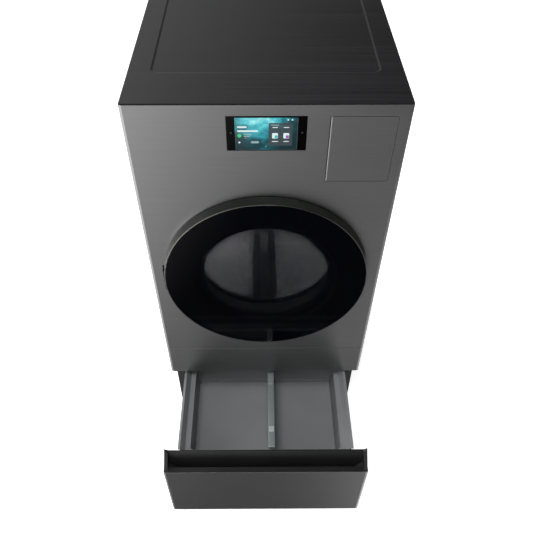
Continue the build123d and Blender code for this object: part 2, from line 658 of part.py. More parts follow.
def blower_housing():
    """The scroll around the blower wheel, its outlet to the front port and the motor on top."""
    z = (DECK_Z[1] + 0.1, DECK_Z[1] + 92)
    wall = 3.0
    radius = 92.0
    scroll = rod_z(radius, z, BLOWER_X, BLOWER_Y)
    outlet_x = (AIR_PORTS[0][0] - 52, AIR_PORTS[0][0] + 44)
    outlet_y = (AIR_PORTS[0][1] - 48, BLOWER_Y)
    scroll += block(outlet_x, outlet_y, z)
    inside = (z[0] + wall, z[1] - wall)
    scroll -= rod_z(radius - wall, inside, BLOWER_X, BLOWER_Y)
    scroll -= block((outlet_x[0] + wall, outlet_x[1] - wall), (outlet_y[0] + wall, BLOWER_Y), inside)
    scroll -= rod_z(AIR_PORT_RADIUS - 4, (z[0] - 1, z[0] + 5), *AIR_PORTS[0])
    scroll += rod_z(38, (z[1], z[1] + 55), BLOWER_X, BLOWER_Y)
    return scroll - rod_z(BLOWER_SHAFT_RADIUS + 0.05, (z[1] - 4, z[1] + 26), BLOWER_X, BLOWER_Y)


def blower_wheel():
    """A squirrel-cage wheel: a disc, a rim, a ring of blades and the shaft up into its motor."""
    z = (DECK_Z[1] + 12, DECK_Z[1] + 80)
    wheel = rod_z(76, (z[0], z[0] + 3), BLOWER_X, BLOWER_Y)
    wheel += rod_z(14, (z[0], z[1]), BLOWER_X, BLOWER_Y)
    wheel += rod_z(BLOWER_SHAFT_RADIUS, (z[1], DECK_Z[1] + 116), BLOWER_X, BLOWER_Y)
    wheel += rod_z(76, (z[1] - 3, z[1]), BLOWER_X, BLOWER_Y) - rod_z(58, (z[1] - 4, z[1] + 1), BLOWER_X, BLOWER_Y)
    blades = 20
    for number in range(blades):
        angle = 360 / blades * number
        blade = block((60, 75), (-1, 1), (z[0] + 2, z[1] - 2))
        wheel += Pos(BLOWER_X, BLOWER_Y, 0) * Rot(0, 0, angle) * blade
    return wheel


def tub_bellows():
    """Rubber bellows between the tub and its neighbours: two air ports and the sump."""
    pieces = []
    for x, y in AIR_PORTS:
        z = (AIR_PORT_TOP, DECK_Z[0])
        pieces.append(rod_z(AIR_PORT_RADIUS + 4, z, x, y) - rod_z(AIR_PORT_RADIUS, z, x, y))
    sump_z = (PUMP_Z + 42, sump_port_bottom())
    pieces.append(rod_z(26, sump_z, PUMP_X, SUMP_Y) - rod_z(22, sump_z, PUMP_X, SUMP_Y))
    return pieces


# ---------------------------------------------------------------- water
def sump_port_bottom():
    """Height of the mouth of the tub's sump port."""
    return AXIS_Z - TUB_RADIUS - 4


def drain_pump():
    """The pump: a filter barrel behind the service panel, an inlet neck and a motor."""
    barrel_y = (FRONT + 25, SUMP_Y + 40)
    barrel = rod_y(36, barrel_y, PUMP_X, PUMP_Z)
    barrel += rod_z(26, (PUMP_Z, PUMP_Z + 42), PUMP_X, SUMP_Y)
    barrel -= rod_y(32, (barrel_y[0] + 6, barrel_y[1] + 1), PUMP_X, PUMP_Z)
    barrel -= rod_z(22, (PUMP_Z, PUMP_Z + 43), PUMP_X, SUMP_Y)
    motor_y = (barrel_y[1], barrel_y[1] + 70)
    barrel += rod_y(36, (barrel_y[1], barrel_y[1] + 3), PUMP_X, PUMP_Z)
    barrel += block((PUMP_X - 30, PUMP_X + 30), motor_y, (PUMP_Z - 30, PUMP_Z + 30))
    barrel += rod_x(14, (PUMP_X - 70, PUMP_X - 34), SUMP_Y + 30, PUMP_Z)
    stand = block((PUMP_X - 30, PUMP_X + 30), (SUMP_Y - 60, SUMP_Y + 90), (PANEL_BOTTOM + 5, PUMP_Z - 34))
    cap = block((PUMP_X - 24, PUMP_X + 24), (FRONT + 20, FRONT + 26), (PUMP_Z - 5, PUMP_Z + 5))
    return barrel + stand + cap - rod_y(PUMP_SHAFT_RADIUS + 0.05, (SUMP_Y + 39, SUMP_Y + 72), PUMP_X, PUMP_Z)


def pump_impeller():
    """The pump's eight-bladed impeller on the shaft that runs back into its motor."""
    y = (SUMP_Y + 22, SUMP_Y + 34)
    wheel = rod_y(7, y, PUMP_X, PUMP_Z)
    wheel += rod_y(PUMP_SHAFT_RADIUS, (y[1], SUMP_Y + 70), PUMP_X, PUMP_Z)
    for turn in range(4):
        blade = block((-26, 26), y, (-1.2, 1.2))
        wheel += Pos(PUMP_X, 0, PUMP_Z) * Rot(0, 45 * turn, 0) * blade
    return wheel


def drain_hose():
    """The hose from the pump along the pan and up the rear corner to its outlet."""
    start = (PUMP_X - 70.5, SUMP_Y + 30, PUMP_Z)
    low = PANEL_BOTTOM + 40
    route = [
        start, (PUMP_X - 150, SUMP_Y + 30, PUMP_Z), (-90, 40, low), (-100, 250, low),
        (DRAIN_X, 340, low + 20), (DRAIN_X, 350, low + 160), (DRAIN_X, 352, DRAIN_Z - 90),
        (DRAIN_X, 354, DRAIN_Z), (DRAIN_X, BACK - 4.2, DRAIN_Z),
    ]
    path = FilletPolyline(*route, radius=18)
    section = Plane(origin=path @ 0, z_dir=path % 0) * (Circle(14) - Circle(11))
    return sweep(section, path=path)


def drain_outlet():
    """The outlet elbow on the back panel that the house drain hose pushes onto."""
    flange = rod_y(28, (BACK - 2, BACK + 1), DRAIN_X, DRAIN_Z)
    spigot = rod_y(DRAIN_RADIUS, (BACK - 4, DRAIN_END), DRAIN_X, DRAIN_Z)
    return flange + spigot - rod_y(12, (BACK, DRAIN_END + 1), DRAIN_X, DRAIN_Z)


def water_valve():
    """The inlet valve block with its two threaded necks through the back panel."""
    middle = sum(INLET_X) / 2
    z = (INLET_Z - 20, INLET_Z + 20)
    valve = block((INLET_X[0] - 20, INLET_X[1] + 20), (BACK - 44, BACK - 4), z)
    for x in INLET_X:
        valve += rod_y(INLET_RADIUS + 1, (BACK - 5, BACK - 2), x, INLET_Z)
        valve += rod_y(INLET_RADIUS, (BACK - 3, INLET_END), x, INLET_Z)
        valve -= rod_y(9, (BACK, INLET_END + 1), x, INLET_Z)
        valve += rod_z(14, (INLET_Z + 19, INLET_Z + 46), x, BACK - 26)
    return valve + rod_y(8, (BACK - 70, BACK - 43), middle, INLET_Z)


def power_inlet():
    """The recessed three-pin appliance inlet for the mains lead."""
    x, z = POWER_X, INLET_Z
    body = block((x - 28, x + 28), (BACK - 2, BACK + 3), (z - 20, z + 20))
    body = fillet(body.edges().filter_by(Axis.Y), 4)
    body += block((x - 17, x + 17), (BACK - 18, BACK), (z - 13, z + 13))
    body -= block((x - 14, x + 14), (BACK - 15, BACK + 4), (z - 10, z + 10))
    for px in (x - 8, x, x + 8):
        body += block((px - 1, px + 1), (BACK - 16, BACK - 1), (z - 3, z + 3))
    return body


# ---------------------------------------------------------------- tub group
def tub_lugs(spring_y, damper_y):
    """The ears that take a pair of springs above and a pair of dampers below."""
    inside = rod_y(TUB_RADIUS - TUB_WALL / 2, (TUB_FRONT, TUB_BACK))
    ears = None
    for side in (-1, 1):
        x = side * SPRING_X
        top = block((x - 13, x + 13), (spring_y - 13, spring_y + 13), (LUG_TOP - 60, LUG_TOP))
        x = side * DAMPER_X
        low = (DAMPER_LUG_BOTTOM, DAMPER_LUG_BOTTOM + 50)
        foot = block((x - 14, x + 14), (damper_y - 14, damper_y + 14), low)
        both = top + foot
        ears = both if ears is None else ears + both
    return ears - inside


def tub_front():
    """The front half of the tub: shell, front wall, gasket collar, air port and sump port."""
    inner = TUB_RADIUS - TUB_WALL
    shell = turned([
        (TUB_RADIUS + 8, TUB_SEAM), (TUB_RADIUS + 8, TUB_SEAM - 10), (TUB_RADIUS, TUB_SEAM - 10),
        (TUB_RADIUS, TUB_FRONT), (COLLAR_RADIUS, TUB_FRONT), (COLLAR_RADIUS, TUB_FRONT - 15),
        (COLLAR_RADIUS - 6, TUB_FRONT - 15), (COLLAR_RADIUS - 6, TUB_FRONT + 5),
        (inner, TUB_FRONT + 5), (inner, TUB_SEAM),
    ])
    hollow = rod_y(inner + 1, (TUB_FRONT + 1, TUB_SEAM))
    x, y = AIR_PORTS[0]
    port = rod_z(AIR_PORT_RADIUS + 4, (AXIS_Z + 250, AIR_PORT_TOP), x, y) - hollow
    sump = rod_z(26, (sump_port_bottom(), AXIS_Z - 250), PUMP_X, SUMP_Y) - hollow
    shell += port + sump + tub_lugs(SPRING_Y[0], DAMPER_Y[0])
    shell -= rod_z(AIR_PORT_RADIUS, (AXIS_Z + 250, AIR_PORT_TOP + 1), x, y)
    return shell - rod_z(22, (sump_port_bottom() - 1, AXIS_Z - 250), PUMP_X, SUMP_Y)


BEARING_FRONT = (286.0, 302.0)
BEARING_REAR = (318.0, 333.0)
SHAFT_RADIUS = 15.0
SHAFT_END_RADIUS = 12.5


def tub_rear():
    """The rear half of the tub with the stepped bearing hub in its middle."""
    inner = TUB_RADIUS - TUB_WALL
    shell = turned([
        (TUB_RADIUS + 8, TUB_SEAM), (TUB_RADIUS + 8, TUB_SEAM + 10), (TUB_RADIUS, TUB_SEAM + 10),
        (TUB_RADIUS, TUB_BACK), (62, TUB_BACK), (62, 335), (26, 335), (26, BEARING_REAR[0]),
        (22, BEARING_REAR[0]), (22, BEARING_FRONT[1]), (31, BEARING_FRONT[1]), (31, 279),
        (40, 279), (40, TUB_BACK - 6), (inner, TUB_BACK - 6), (inner, TUB_SEAM),
    ])
    hollow = rod_y(inner + 1, (TUB_SEAM, TUB_BACK - 1))
    x, y = AIR_PORTS[1]
    shell += rod_z(AIR_PORT_RADIUS + 4, (AXIS_Z + 250, AIR_PORT_TOP), x, y) - hollow
    shell += tub_lugs(SPRING_Y[1], DAMPER_Y[1])
    return shell - rod_z(AIR_PORT_RADIUS, (AXIS_Z + 250, AIR_PORT_TOP + 1), x, y)


def counterweights():
    """Two concrete arcs bolted to the tub's front wall, above and below the porthole."""
    ring = ring_y(312, 232, (TUB_FRONT - 28, TUB_FRONT))
    gap = 78.0
    upper = ring & block((-320, 320), (TUB_FRONT - 30, TUB_FRONT), (AXIS_Z + gap, AXIS_Z + 320))
    lower = ring & block((-320, 320), (TUB_FRONT - 30, TUB_FRONT), (AXIS_Z - 320, AXIS_Z - gap))
    return [upper, lower]


def bearings():
    """The two ball bearings in the hub and the lip seal in front of them."""
    front = ring_y(31, SHAFT_RADIUS + 0.04, BEARING_FRONT)
    rear = ring_y(26, SHAFT_END_RADIUS + 0.04, BEARING_REAR)
    seal = ring_y(31, SHAFT_RADIUS + 0.08, (280, BEARING_FRONT[0]))
    return [front, rear, seal]


def stator():
    """The motor's wound ring, screwed to the back of the tub around the hub."""
    ring = ring_y(92, 64, (TUB_BACK, TUB_BACK + 28))
    poles = 18
    for number in range(poles):
        pole = block((90, 126), (TUB_BACK + 4, TUB_BACK + 28), (-7, 7))
        ring += Pos(0, 0, AXIS_Z) * Rot(0, 360 / poles * number, 0) * pole
    return ring


def suspension_springs():
    """The four coil springs as plain sleeves of the coils' outer size."""
    sleeves = []
    for y in SPRING_Y:
        for x in (-SPRING_X, SPRING_X):
            z = (LUG_TOP, SPRING_TOP)
            sleeves.append(rod_z(12, z, x, y) - rod_z(9, z, x, y))
    return sleeves


DAMPER_BASE = PANEL_BOTTOM + 5
DAMPER_TOP = PANEL_BOTTOM + 173


def damper_places():
    """The four dampers' places under the tub."""
    return [(x, y) for x in (-DAMPER_X, DAMPER_X) for y in DAMPER_Y]


def damper_cylinders():
    """The lower tubes of the friction dampers, standing on the pan."""
    tubes = []
    for x, y in damper_places():
        tube = rod_z(16, (DAMPER_BASE, DAMPER_TOP), x, y)
        tube -= rod_z(12, (DAMPER_BASE + 10, DAMPER_TOP - 5), x, y)
        tubes.append(tube - rod_z(5.8, (DAMPER_TOP - 6, DAMPER_TOP + 1), x, y))
    return tubes


def damper_rods():
    """The rods under the tub's ears, each with its friction piston inside its tube."""
    rods = []
    for x, y in damper_places():
        low = DAMPER_BASE + 78
        rods.append(rod_z(5, (low, DAMPER_LUG_BOTTOM), x, y) + rod_z(11.5, (low, low + 14), x, y))
    return rods


# ---------------------------------------------------------------- drum group
def drum_shell():
    """The drum: a thin cylinder with a turned-in mouth and a closed back."""
    outer, inner = DRUM_RADIUS, DRUM_RADIUS - DRUM_WALL
    return turned([
        (DRUM_MOUTH, DRUM_FRONT), (outer, DRUM_FRONT), (outer, DRUM_BACK), (0.001, DRUM_BACK),
        (0.001, DRUM_BACK - DRUM_WALL), (inner, DRUM_BACK - DRUM_WALL),
        (inner, DRUM_FRONT + DRUM_WALL), (DRUM_MOUTH, DRUM_FRONT + DRUM_WALL),
    ])


def drum_lifters():
    """Three hollow paddles along the inside of the drum, one of them at the bottom."""
    wall = DRUM_RADIUS - DRUM_WALL
    y = (DRUM_FRONT + 34, DRUM_BACK - 24)
    outline = [(-42, wall - 14), (-16, wall - 50), (16, wall - 50), (42, wall - 14), (42, wall + 4), (-42, wall + 4)]
    paddle = prism_y(outline, y)
    paddle = fillet(paddle.edges().filter_by(Axis.Y).group_by(Axis.Z)[0], 10)
    paddle &= rod_y(wall - 0.2, y, 0, 0)
    hollow = [(-32, wall - 10), (-14, wall - 45), (14, wall - 45), (32, wall - 10), (32, wall + 5), (-32, wall + 5)]
    paddle -= prism_y(hollow, (y[0] + 5, y[1] - 5))
    return [Pos(0, 0, AXIS_Z) * Rot(0, 180 + 120 * turn, 0) * paddle for turn in range(3)]


def drum_spider():
    """The three-armed casting behind the drum with the shaft pressed into it."""
    y = (DRUM_BACK, DRUM_BACK + 24)
    spider = rod_y(40, (DRUM_BACK, DRUM_BACK + 34))
    for turn in range(3):
        arm = block((-22, 22), y, (0, DRUM_RADIUS - 12))
        spider += Pos(0, 0, AXIS_Z) * Rot(0, 180 + 120 * turn, 0) * arm
    spider += rod_y(SHAFT_RADIUS, (DRUM_BACK + 30, 304))
    return spider + rod_y(SHAFT_END_RADIUS, (300, 354))


def rotor():
    """The motor's cup with its magnet ring around the stator, and the nut that holds it."""
    cup = turned([
        (SHAFT_END_RADIUS, 337), (132, 337), (132, TUB_BACK + 4), (140, TUB_BACK + 4),
        (140, 342), (SHAFT_END_RADIUS, 342),
    ])
    nut = rod_y(20, (342, 352)) - rod_y(SHAFT_END_RADIUS, (341, 353))
    return cup + nut


# ---------------------------------------------------------------- door
def door_gasket():
    """The rubber bellows from the porthole's flange to the tub's collar."""
    edge = PORTHOLE_RADIUS - STEEL - 0.2
    collar = COLLAR_RADIUS - 6.2
    return turned([
        (187, FRONT + 5), (190, FRONT + 1.5), (edge, FRONT + 1.5), (edge, FRONT + 15), (edge - 4, FRONT + 15),
        (edge - 4, FRONT + 26), (collar, FRONT + 32), (collar, TUB_FRONT + 4),
        (collar - 5, TUB_FRONT + 4), (collar - 7, FRONT + 26), (197, FRONT + 12), (188, FRONT + 9),
    ])


def grip_pocket():
    """The finger space cut into the right-hand side of the door rim."""
    return block((278, 310), (GLASS_FACE + 7, RIM_BACK + 1), (AXIS_Z - 65, AXIS_Z + 65))


def hinge_notch():
    """The space in the door rim that clears the hinge."""
    return block((-310, HINGE_X + 26), (GLASS_FACE + 6, RIM_BACK + 1), (AXIS_Z - 52, AXIS_Z + 52))


def door_rim():
    """The dark outer ring of the door, tapering from the panel to the glass."""
    rim = turned([
        (RIM_RADIUS, RIM_BACK), (RIM_RADIUS, RIM_BACK - 4), (GLASS_RADIUS + 1.5, GLASS_FACE + 0.5),
        (GLASS_RADIUS + 0.3, GLASS_FACE + 0.5), (GLASS_RADIUS + 0.3, GLASS_FACE + 4.2),
        (GLASS_RADIUS - 12, GLASS_FACE + 4.2), (GLASS_RADIUS - 12, RIM_BACK),
    ])
    return rim - grip_pocket() - hinge_notch()


def door_glass():
    """The flat tinted glass over the whole door."""
    glass = rod_y(GLASS_RADIUS, (GLASS_FACE, GLASS_FACE + 4))
    return chamfer(glass.edges().group_by(Axis.Y)[0], 0.8)


def door_inner_ring():
    """The moulded ring behind the glass that carries the bowl, the hook and the hinge leaf."""
    front = GLASS_FACE + 4.2
    ring = turned([
        (GLASS_RADIUS - 12.2, front), (GLASS_RADIUS - 12.2, RIM_BACK), (200, RIM_BACK), (200, front + 14),
        (206, front + 14), (206, front),
    ])
    pocket = block((272, 300), (GLASS_FACE + 7, RIM_BACK + 1), (AXIS_Z - 68, AXIS_Z + 68))
    return ring - pocket - hinge_notch() - hinge_leaf_space()


def door_bowl():
    """The pressed glass bowl that reaches into the drum's mouth."""
    front = GLASS_FACE + 4.2
    return turned([
        (0.001, FRONT + 133), (138, FRONT + 133), (151, FRONT + 129), (158, FRONT + 118), (184, FRONT - 8),
        (186, FRONT - 12), (205.8, FRONT - 12), (205.8, front + 8), (196, front + 8), (180, FRONT - 10),
        (152, FRONT + 116), (147, FRONT + 124), (136, FRONT + 127), (0.001, FRONT + 127),
    ])


def hinge_leaf_space():
    """Room in the inner ring for the hinge leaf and its screws."""
    return block((HINGE_X, HINGE_X + 72), (HINGE_Y - 4, RIM_BACK + 1), (AXIS_Z - 24, AXIS_Z + 24))


def door_hinge_leaf():
    """The steel leaf in the door: a plate and a knuckle that turns on the hinge pin."""
    z = (AXIS_Z - 22, AXIS_Z + 22)
    leaf = block((HINGE_X, HINGE_X + 71), (HINGE_Y - 3, HINGE_Y + 3), z)
    leaf += rod_z(4.2, z, HINGE_X, HINGE_Y)
    leaf -= block((HINGE_X - 9, HINGE_X - 3.2), (HINGE_Y - 9, HINGE_Y + 9), (z[0] - 1, z[1] + 1))
    return leaf - rod_z(HINGE_PIN_RADIUS + 0.05, (z[0] - 1, z[1] + 1), HINGE_X, HINGE_Y)


def door_hinge_base():
    """The bracket behind the front panel, its two arms through the slots, and the hinge pin."""
    plate = block((HINGE_X - 12, HINGE_X + 30), (FRONT + STEEL, FRONT + 8), (AXIS_Z - 60, AXIS_Z + 60))
    for side in (-1, 1):
        z = tuple(sorted((AXIS_Z + side * 26, AXIS_Z + side * 42)))
        arm = block((HINGE_X - 3, HINGE_X + 4), (HINGE_Y, FRONT + 3), z) + rod_z(4, z, HINGE_X, HINGE_Y)
        plate += arm - block((HINGE_X - 9, HINGE_X - 3), (HINGE_Y - 9, HINGE_Y + 9), (z[0] - 1, z[1] + 1))
    return plate + rod_z(HINGE_PIN_RADIUS, (AXIS_Z - 30, AXIS_Z + 30), HINGE_X, HINGE_Y)


def door_hook():
    """The latch hook on the back of the door."""
    shank = block((LATCH_X - 3, LATCH_X + 3), (RIM_BACK, FRONT + 18), (AXIS_Z - 9, AXIS_Z + 9))
    shank -= block((LATCH_X - 4, LATCH_X + 4), (FRONT + 6, FRONT + 14), (AXIS_Z - 10, AXIS_Z + 3))
    plate = block((LATCH_X - 12, LATCH_X + 2), (RIM_BACK - 2, RIM_BACK), (AXIS_Z - 20, AXIS_Z + 20))
    return shank + plate


def door_lock():
    """The lock housing behind the front panel, with the slot the hook enters."""
    lock = block((LATCH_X - 20, LATCH_X + 24), (FRONT + STEEL, FRONT + 34), (AXIS_Z - 40, AXIS_Z + 40))
    return lock - block((LATCH_X - 7, LATCH_X + 7), (FRONT, FRONT + 28), (AXIS_Z - 18, AXIS_Z + 18))


# ---------------------------------------------------------------- the whole assembly
def hooked_ring():
    """The inner ring with a rebate for the hook's plate."""
    rebate = block((LATCH_X - 12.1, LATCH_X + 3), (RIM_BACK - 2.1, RIM_BACK + 1), (AXIS_Z - 20.1, AXIS_Z + 20.1))
    return door_inner_ring() - rebate


def main():
    os.makedirs("parts", exist_ok=True)
    export("pedestal_panels", *pedestal_panels())
    export("pedestal_base", pedestal_base())
    export("pedestal_top", pedestal_top())
    export("pedestal_feet", *pedestal_feet())
    export("rail_outer", *rail_outer())
    export("rail_middle", *rail_middle())
    export("rail_inner", *rail_inner())
    export("drawer_face", drawer_face(), *face_brackets())
    export("drawer_scoop", drawer_scoop())
    export("drawer_bin", drawer_bin())
    export("drawer_divider", drawer_divider())

    export("base_pan", base_pan())
    export("washer_feet", *washer_feet())
    export("side_panels", *side_panels())
    export("front_panel", front_panel())
    export("lower_front_panel", lower_front_panel())
    export("top_cover", top_cover())
    export("back_panel", *back_panel())
    export("cross_braces", *cross_braces())
    export("display_glass", display_glass())
    export("display_module", display_module())
    export("access_door", access_door())
    export("access_frame", access_frame())
    export("dispenser_housing", dispenser_housing())
    export("dispenser_drawer", dispenser_drawer())
    export("lint_filter", lint_filter())

    export("heat_pump_deck", heat_pump_deck())
    export("heat_exchanger_case", heat_exchanger_case())
    export("heat_pump_coils", *coils())
    export("compressor", compressor())
    export("refrigerant_pipes", *refrigerant_pipes())
    export("blower_housing", blower_housing())
    export("blower_wheel", blower_wheel())

    export("drain_pump", drain_pump())
    export("pump_impeller", pump_impeller())
    export("drain_hose", drain_hose())
    export("drain_outlet", drain_outlet())
    export("water_valve", water_valve())
    export("power_inlet", power_inlet())

    export("tub_front", tub_front())
    export("tub_rear", tub_rear())
    export("tub_bellows", *tub_bellows())
    export("counterweights", *counterweights())
    export("bearings", *bearings())
    export("stator", stator())
    export("suspension_springs", *suspension_springs())
    export("damper_cylinders", *damper_cylinders())
    export("damper_rods", *damper_rods())

    export("drum_shell", drum_shell())
    export("drum_lifters", *drum_lifters())
    export("drum_spider", drum_spider())
    export("rotor", rotor())

    export("door_gasket", door_gasket())
    export("door_rim", door_rim())
    export("door_glass", door_glass())
    export("door_inner_ring", hooked_ring())
    export("door_bowl", door_bowl())
    export("door_hinge", door_hinge_base())
    export("door_hardware", door_hinge_leaf(), door_hook())
    export("door_lock", door_lock())


if __name__ == "__main__":
    main()
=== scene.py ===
import bpy
import json
from math import cos, pi, radians, sin
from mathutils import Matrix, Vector


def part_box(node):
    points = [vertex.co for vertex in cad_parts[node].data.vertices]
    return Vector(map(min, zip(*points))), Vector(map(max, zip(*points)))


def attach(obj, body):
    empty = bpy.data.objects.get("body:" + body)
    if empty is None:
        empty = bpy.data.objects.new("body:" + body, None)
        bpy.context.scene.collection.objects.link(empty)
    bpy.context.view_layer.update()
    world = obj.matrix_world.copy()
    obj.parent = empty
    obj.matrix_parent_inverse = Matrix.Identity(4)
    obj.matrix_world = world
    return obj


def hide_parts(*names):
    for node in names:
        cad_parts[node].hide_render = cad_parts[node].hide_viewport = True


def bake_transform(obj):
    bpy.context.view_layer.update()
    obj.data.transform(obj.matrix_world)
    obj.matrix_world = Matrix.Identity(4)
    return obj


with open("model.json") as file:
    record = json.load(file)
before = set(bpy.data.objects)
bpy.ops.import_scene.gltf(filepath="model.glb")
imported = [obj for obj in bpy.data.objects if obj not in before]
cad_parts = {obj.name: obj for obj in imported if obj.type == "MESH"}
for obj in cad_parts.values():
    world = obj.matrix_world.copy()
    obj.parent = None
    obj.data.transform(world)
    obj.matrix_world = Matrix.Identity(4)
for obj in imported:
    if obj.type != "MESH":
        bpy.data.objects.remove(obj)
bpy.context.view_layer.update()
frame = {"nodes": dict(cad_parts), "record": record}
nodes = frame["nodes"]
record = frame["record"]

# The studio: a camera above the front of the machine looks steeply down on a white floor inside
# a white dome. Soft light comes from all round, most of it from the left, and it is dim below.
# Small glows sit where the folded edges of the sheet metal mirror them.
bpy.context.scene.view_settings.view_transform = "Standard"
bpy.ops.object.select_all(action="DESELECT")
bpy.ops.object.camera_add(
    location=(-0.0168, -1.6117, 2.2082),
    rotation=(radians(41.954), radians(-0.02), radians(-0.325)),
)
camera = bpy.context.object
camera.data.sensor_width = 36
camera.data.lens = 39.70
camera.data.shift_x = 0.0076
camera.data.shift_y = 0.0346
bpy.context.scene.camera = camera

class Value:
    """One shader output, so that shader maths reads as arithmetic."""

    def __init__(self, graph, socket):
        self.graph = graph
        self.socket = socket

    def maths(self, operation, *others):
        return self.graph.node("ShaderNodeMath", {"operation": operation}, [self, *others])

    def __add__(self, other):
        return self.maths("ADD", other)

    __radd__ = __add__

    def __sub__(self, other):
        return self.maths("SUBTRACT", other)

    def __rsub__(self, other):
        return self.graph.node("ShaderNodeMath", {"operation": "SUBTRACT"}, [other, self])

    def __mul__(self, other):
        return self.maths("MULTIPLY", other)

    __rmul__ = __mul__

    def __truediv__(self, other):
        return self.maths("DIVIDE", other)

    def step(self, low, high, start=0.0, end=1.0):
        """Rises smoothly from start to end as this value goes from low to high."""
        settings = {"interpolation_type": "SMOOTHSTEP"}
        return self.graph.node("ShaderNodeMapRange", settings, [self, low, high, start, end])


class Graph:
    """A node tree whose nodes are made by one call each."""

    def __init__(self, tree):
        self.tree = tree

    def plug(self, socket, value):
        if isinstance(value, Value):
            self.tree.links.new(value.socket, socket)
        elif isinstance(value, tuple) and len(value) == 3 and socket.type == "RGBA":
            socket.default_value = (*value, 1)
        else:
            socket.default_value = value

    def node(self, kind, settings=None, inputs=(), output=0):
        made = self.tree.nodes.new(kind)
        for name, value in (settings or {}).items():
            if name == "stops":
                ramp = made.color_ramp
                ramp.elements[0].position, ramp.elements[0].color = value[0][0], (*value[0][1], 1)
                ramp.elements[1].position, ramp.elements[1].color = value[-1][0], (*value[-1][1], 1)
                for place, colour in value[1:-1]:
                    ramp.elements.new(place).color = (*colour, 1)
            else:
                setattr(made, name, value)
        pairs = inputs.items() if isinstance(inputs, dict) else enumerate(inputs)
        for key, value in pairs:
            self.plug(made.inputs[key], value)
        return Value(self, made.outputs[output])


room = bpy.data.worlds.new("soft_room")
room.use_nodes = True
bpy.context.scene.world = room
air = Graph(room.node_tree)
heading = air.node("ShaderNodeTexCoord", output="Generated")


def glow_towards(direction, low, high, dim, bright):
    """Light that rises from dim to bright as the heading turns towards a direction."""
    settings = {"operation": "DOT_PRODUCT"}
    along = air.node("ShaderNodeVectorMath", settings, [heading, direction], output="Value")
    return along.step(low, high, dim, bright)


over_horizon = air.node("ShaderNodeSeparateXYZ", None, [heading], output="Z").step(-0.45, 0.0)
below = glow_towards((-0.85, -0.10, 0.75), -0.41, 0.13, 0.025, 2.90)
above = glow_towards((-1.00, 0.10, -0.35), -0.30, 1.00, 0.065, 2.20)
top_edges = glow_towards((0.0, -0.67, 0.74), 0.95, 1.0, 0.0, 3.0)
right_edges = glow_towards((0.69, 0.11, -0.71), 0.96, 1.0, 0.0, 1.7)
low_front = glow_towards((0.46, -0.34, -0.82), 0.93, 1.0, 0.0, 2.3)
left_rim = glow_towards((-0.87, 0.47, 0.15), 0.88, 1.0, 0.0, 5.0)
right_side = glow_towards((0.98, 0.18, 0.0), 0.70, 1.0, 0.0, 0.6)
backdrop = room.node_tree.nodes["Background"]
air.plug(backdrop.inputs["Color"], (1.0, 1.0, 1.0))
air.plug(
    backdrop.inputs["Strength"],
    below + (above - below) * over_horizon + top_edges + right_edges + low_front + left_rim + right_side,
)


def soft_light(name, place, target, size, power):
    """A square softbox at a place, facing a target."""
    bpy.ops.object.light_add(type="AREA", location=place)
    light = bpy.context.object
    light.name = name
    light.data.size = size
    light.data.energy = power
    light.rotation_euler = (Vector(target) - Vector(place)).to_track_quat("-Z", "Y").to_euler()
    return light


soft_light("light_left", (-2.7, 0.9, 2.0), (-0.2, -0.2, 1.1), 1.2, 30)
soft_light("light_drawer", (-0.3, -1.5, 3.3), (0.0, -0.55, 0.2), 1.0, 75).visible_glossy = False


def white_stage(name, glow):
    """Keeps a backdrop white for the camera, without it lighting the machine."""
    piece = bpy.context.object
    piece.name = name
    paper = bpy.data.materials.new(name + "_paper")
    paper.use_nodes = True
    shader = paper.node_tree.nodes["Principled BSDF"]
    shader.inputs["Base Color"].default_value = (0.8, 0.8, 0.8, 1)
    shader.inputs["Roughness"].default_value = 0.9
    shader.inputs["Emission Color"].default_value = (1, 1, 1, 1)
    shader.inputs["Emission Strength"].default_value = glow
    piece.data.materials.append(paper)
    piece.visible_diffuse = False
    piece.visible_glossy = False


JUST_UNDER_FEET = (0, 0, -0.0005)
bpy.ops.mesh.primitive_grid_add(x_subdivisions=8, y_subdivisions=8, size=24, location=JUST_UNDER_FEET)
white_stage("studio_floor", 0.75)
bpy.ops.mesh.primitive_uv_sphere_add(segments=48, ring_count=24, radius=12)
bpy.context.object.visible_shadow = False
white_stage("studio_dome", 1.0)


# Dark stainless sheet, folded for the front panel, the service panel below it, the drawer face
# and the flush access door. It is brushed from side to side and its cut edges are eased, so a
# bright line runs along each one.
class Finish(Graph):
    """A material whose surface is one Principled shader."""

    def __init__(self, name, **sockets):
        self.material = bpy.data.materials.new(name)
        self.material.use_nodes = True
        super().__init__(self.material.node_tree)
        self.shader = self.tree.nodes["Principled BSDF"]
        self.surface(**sockets)

    def surface(self, **sockets):
        for name, value in sockets.items():
            self.plug(self.shader.inputs[name.replace("_", " ")], value)
        return self

    def place(self):
        return self.node("ShaderNodeTexCoord", output="Object")

    def axes(self):
        """The x, y and z of the point, in metres."""
        point = self.place()
        return [self.node("ShaderNodeSeparateXYZ", None, [point], output=axis) for axis in "XYZ"]

    def noise(self, scale, detail=2.0, roughness=0.5):
        """Noise with its own frequency along each axis, in cycles per metre."""
        point = self.node("ShaderNodeVectorMath", {"operation": "MULTIPLY"}, [self.place(), scale])
        inputs = {"Vector": point, "Scale": 1.0, "Detail": detail, "Roughness": roughness}
        return self.node("ShaderNodeTexNoise", None, inputs)

    def colours(self, amount, first, second):
        inputs = {0: amount, 6: (*first, 1), 7: (*second, 1)}
        return self.node("ShaderNodeMix", {"data_type": "RGBA"}, inputs, output=2)

    def bump(self, height, distance, strength=1.0):
        inputs = {"Height": height, "Distance": distance, "Strength": strength}
        return self.node("ShaderNodeBump", None, inputs)


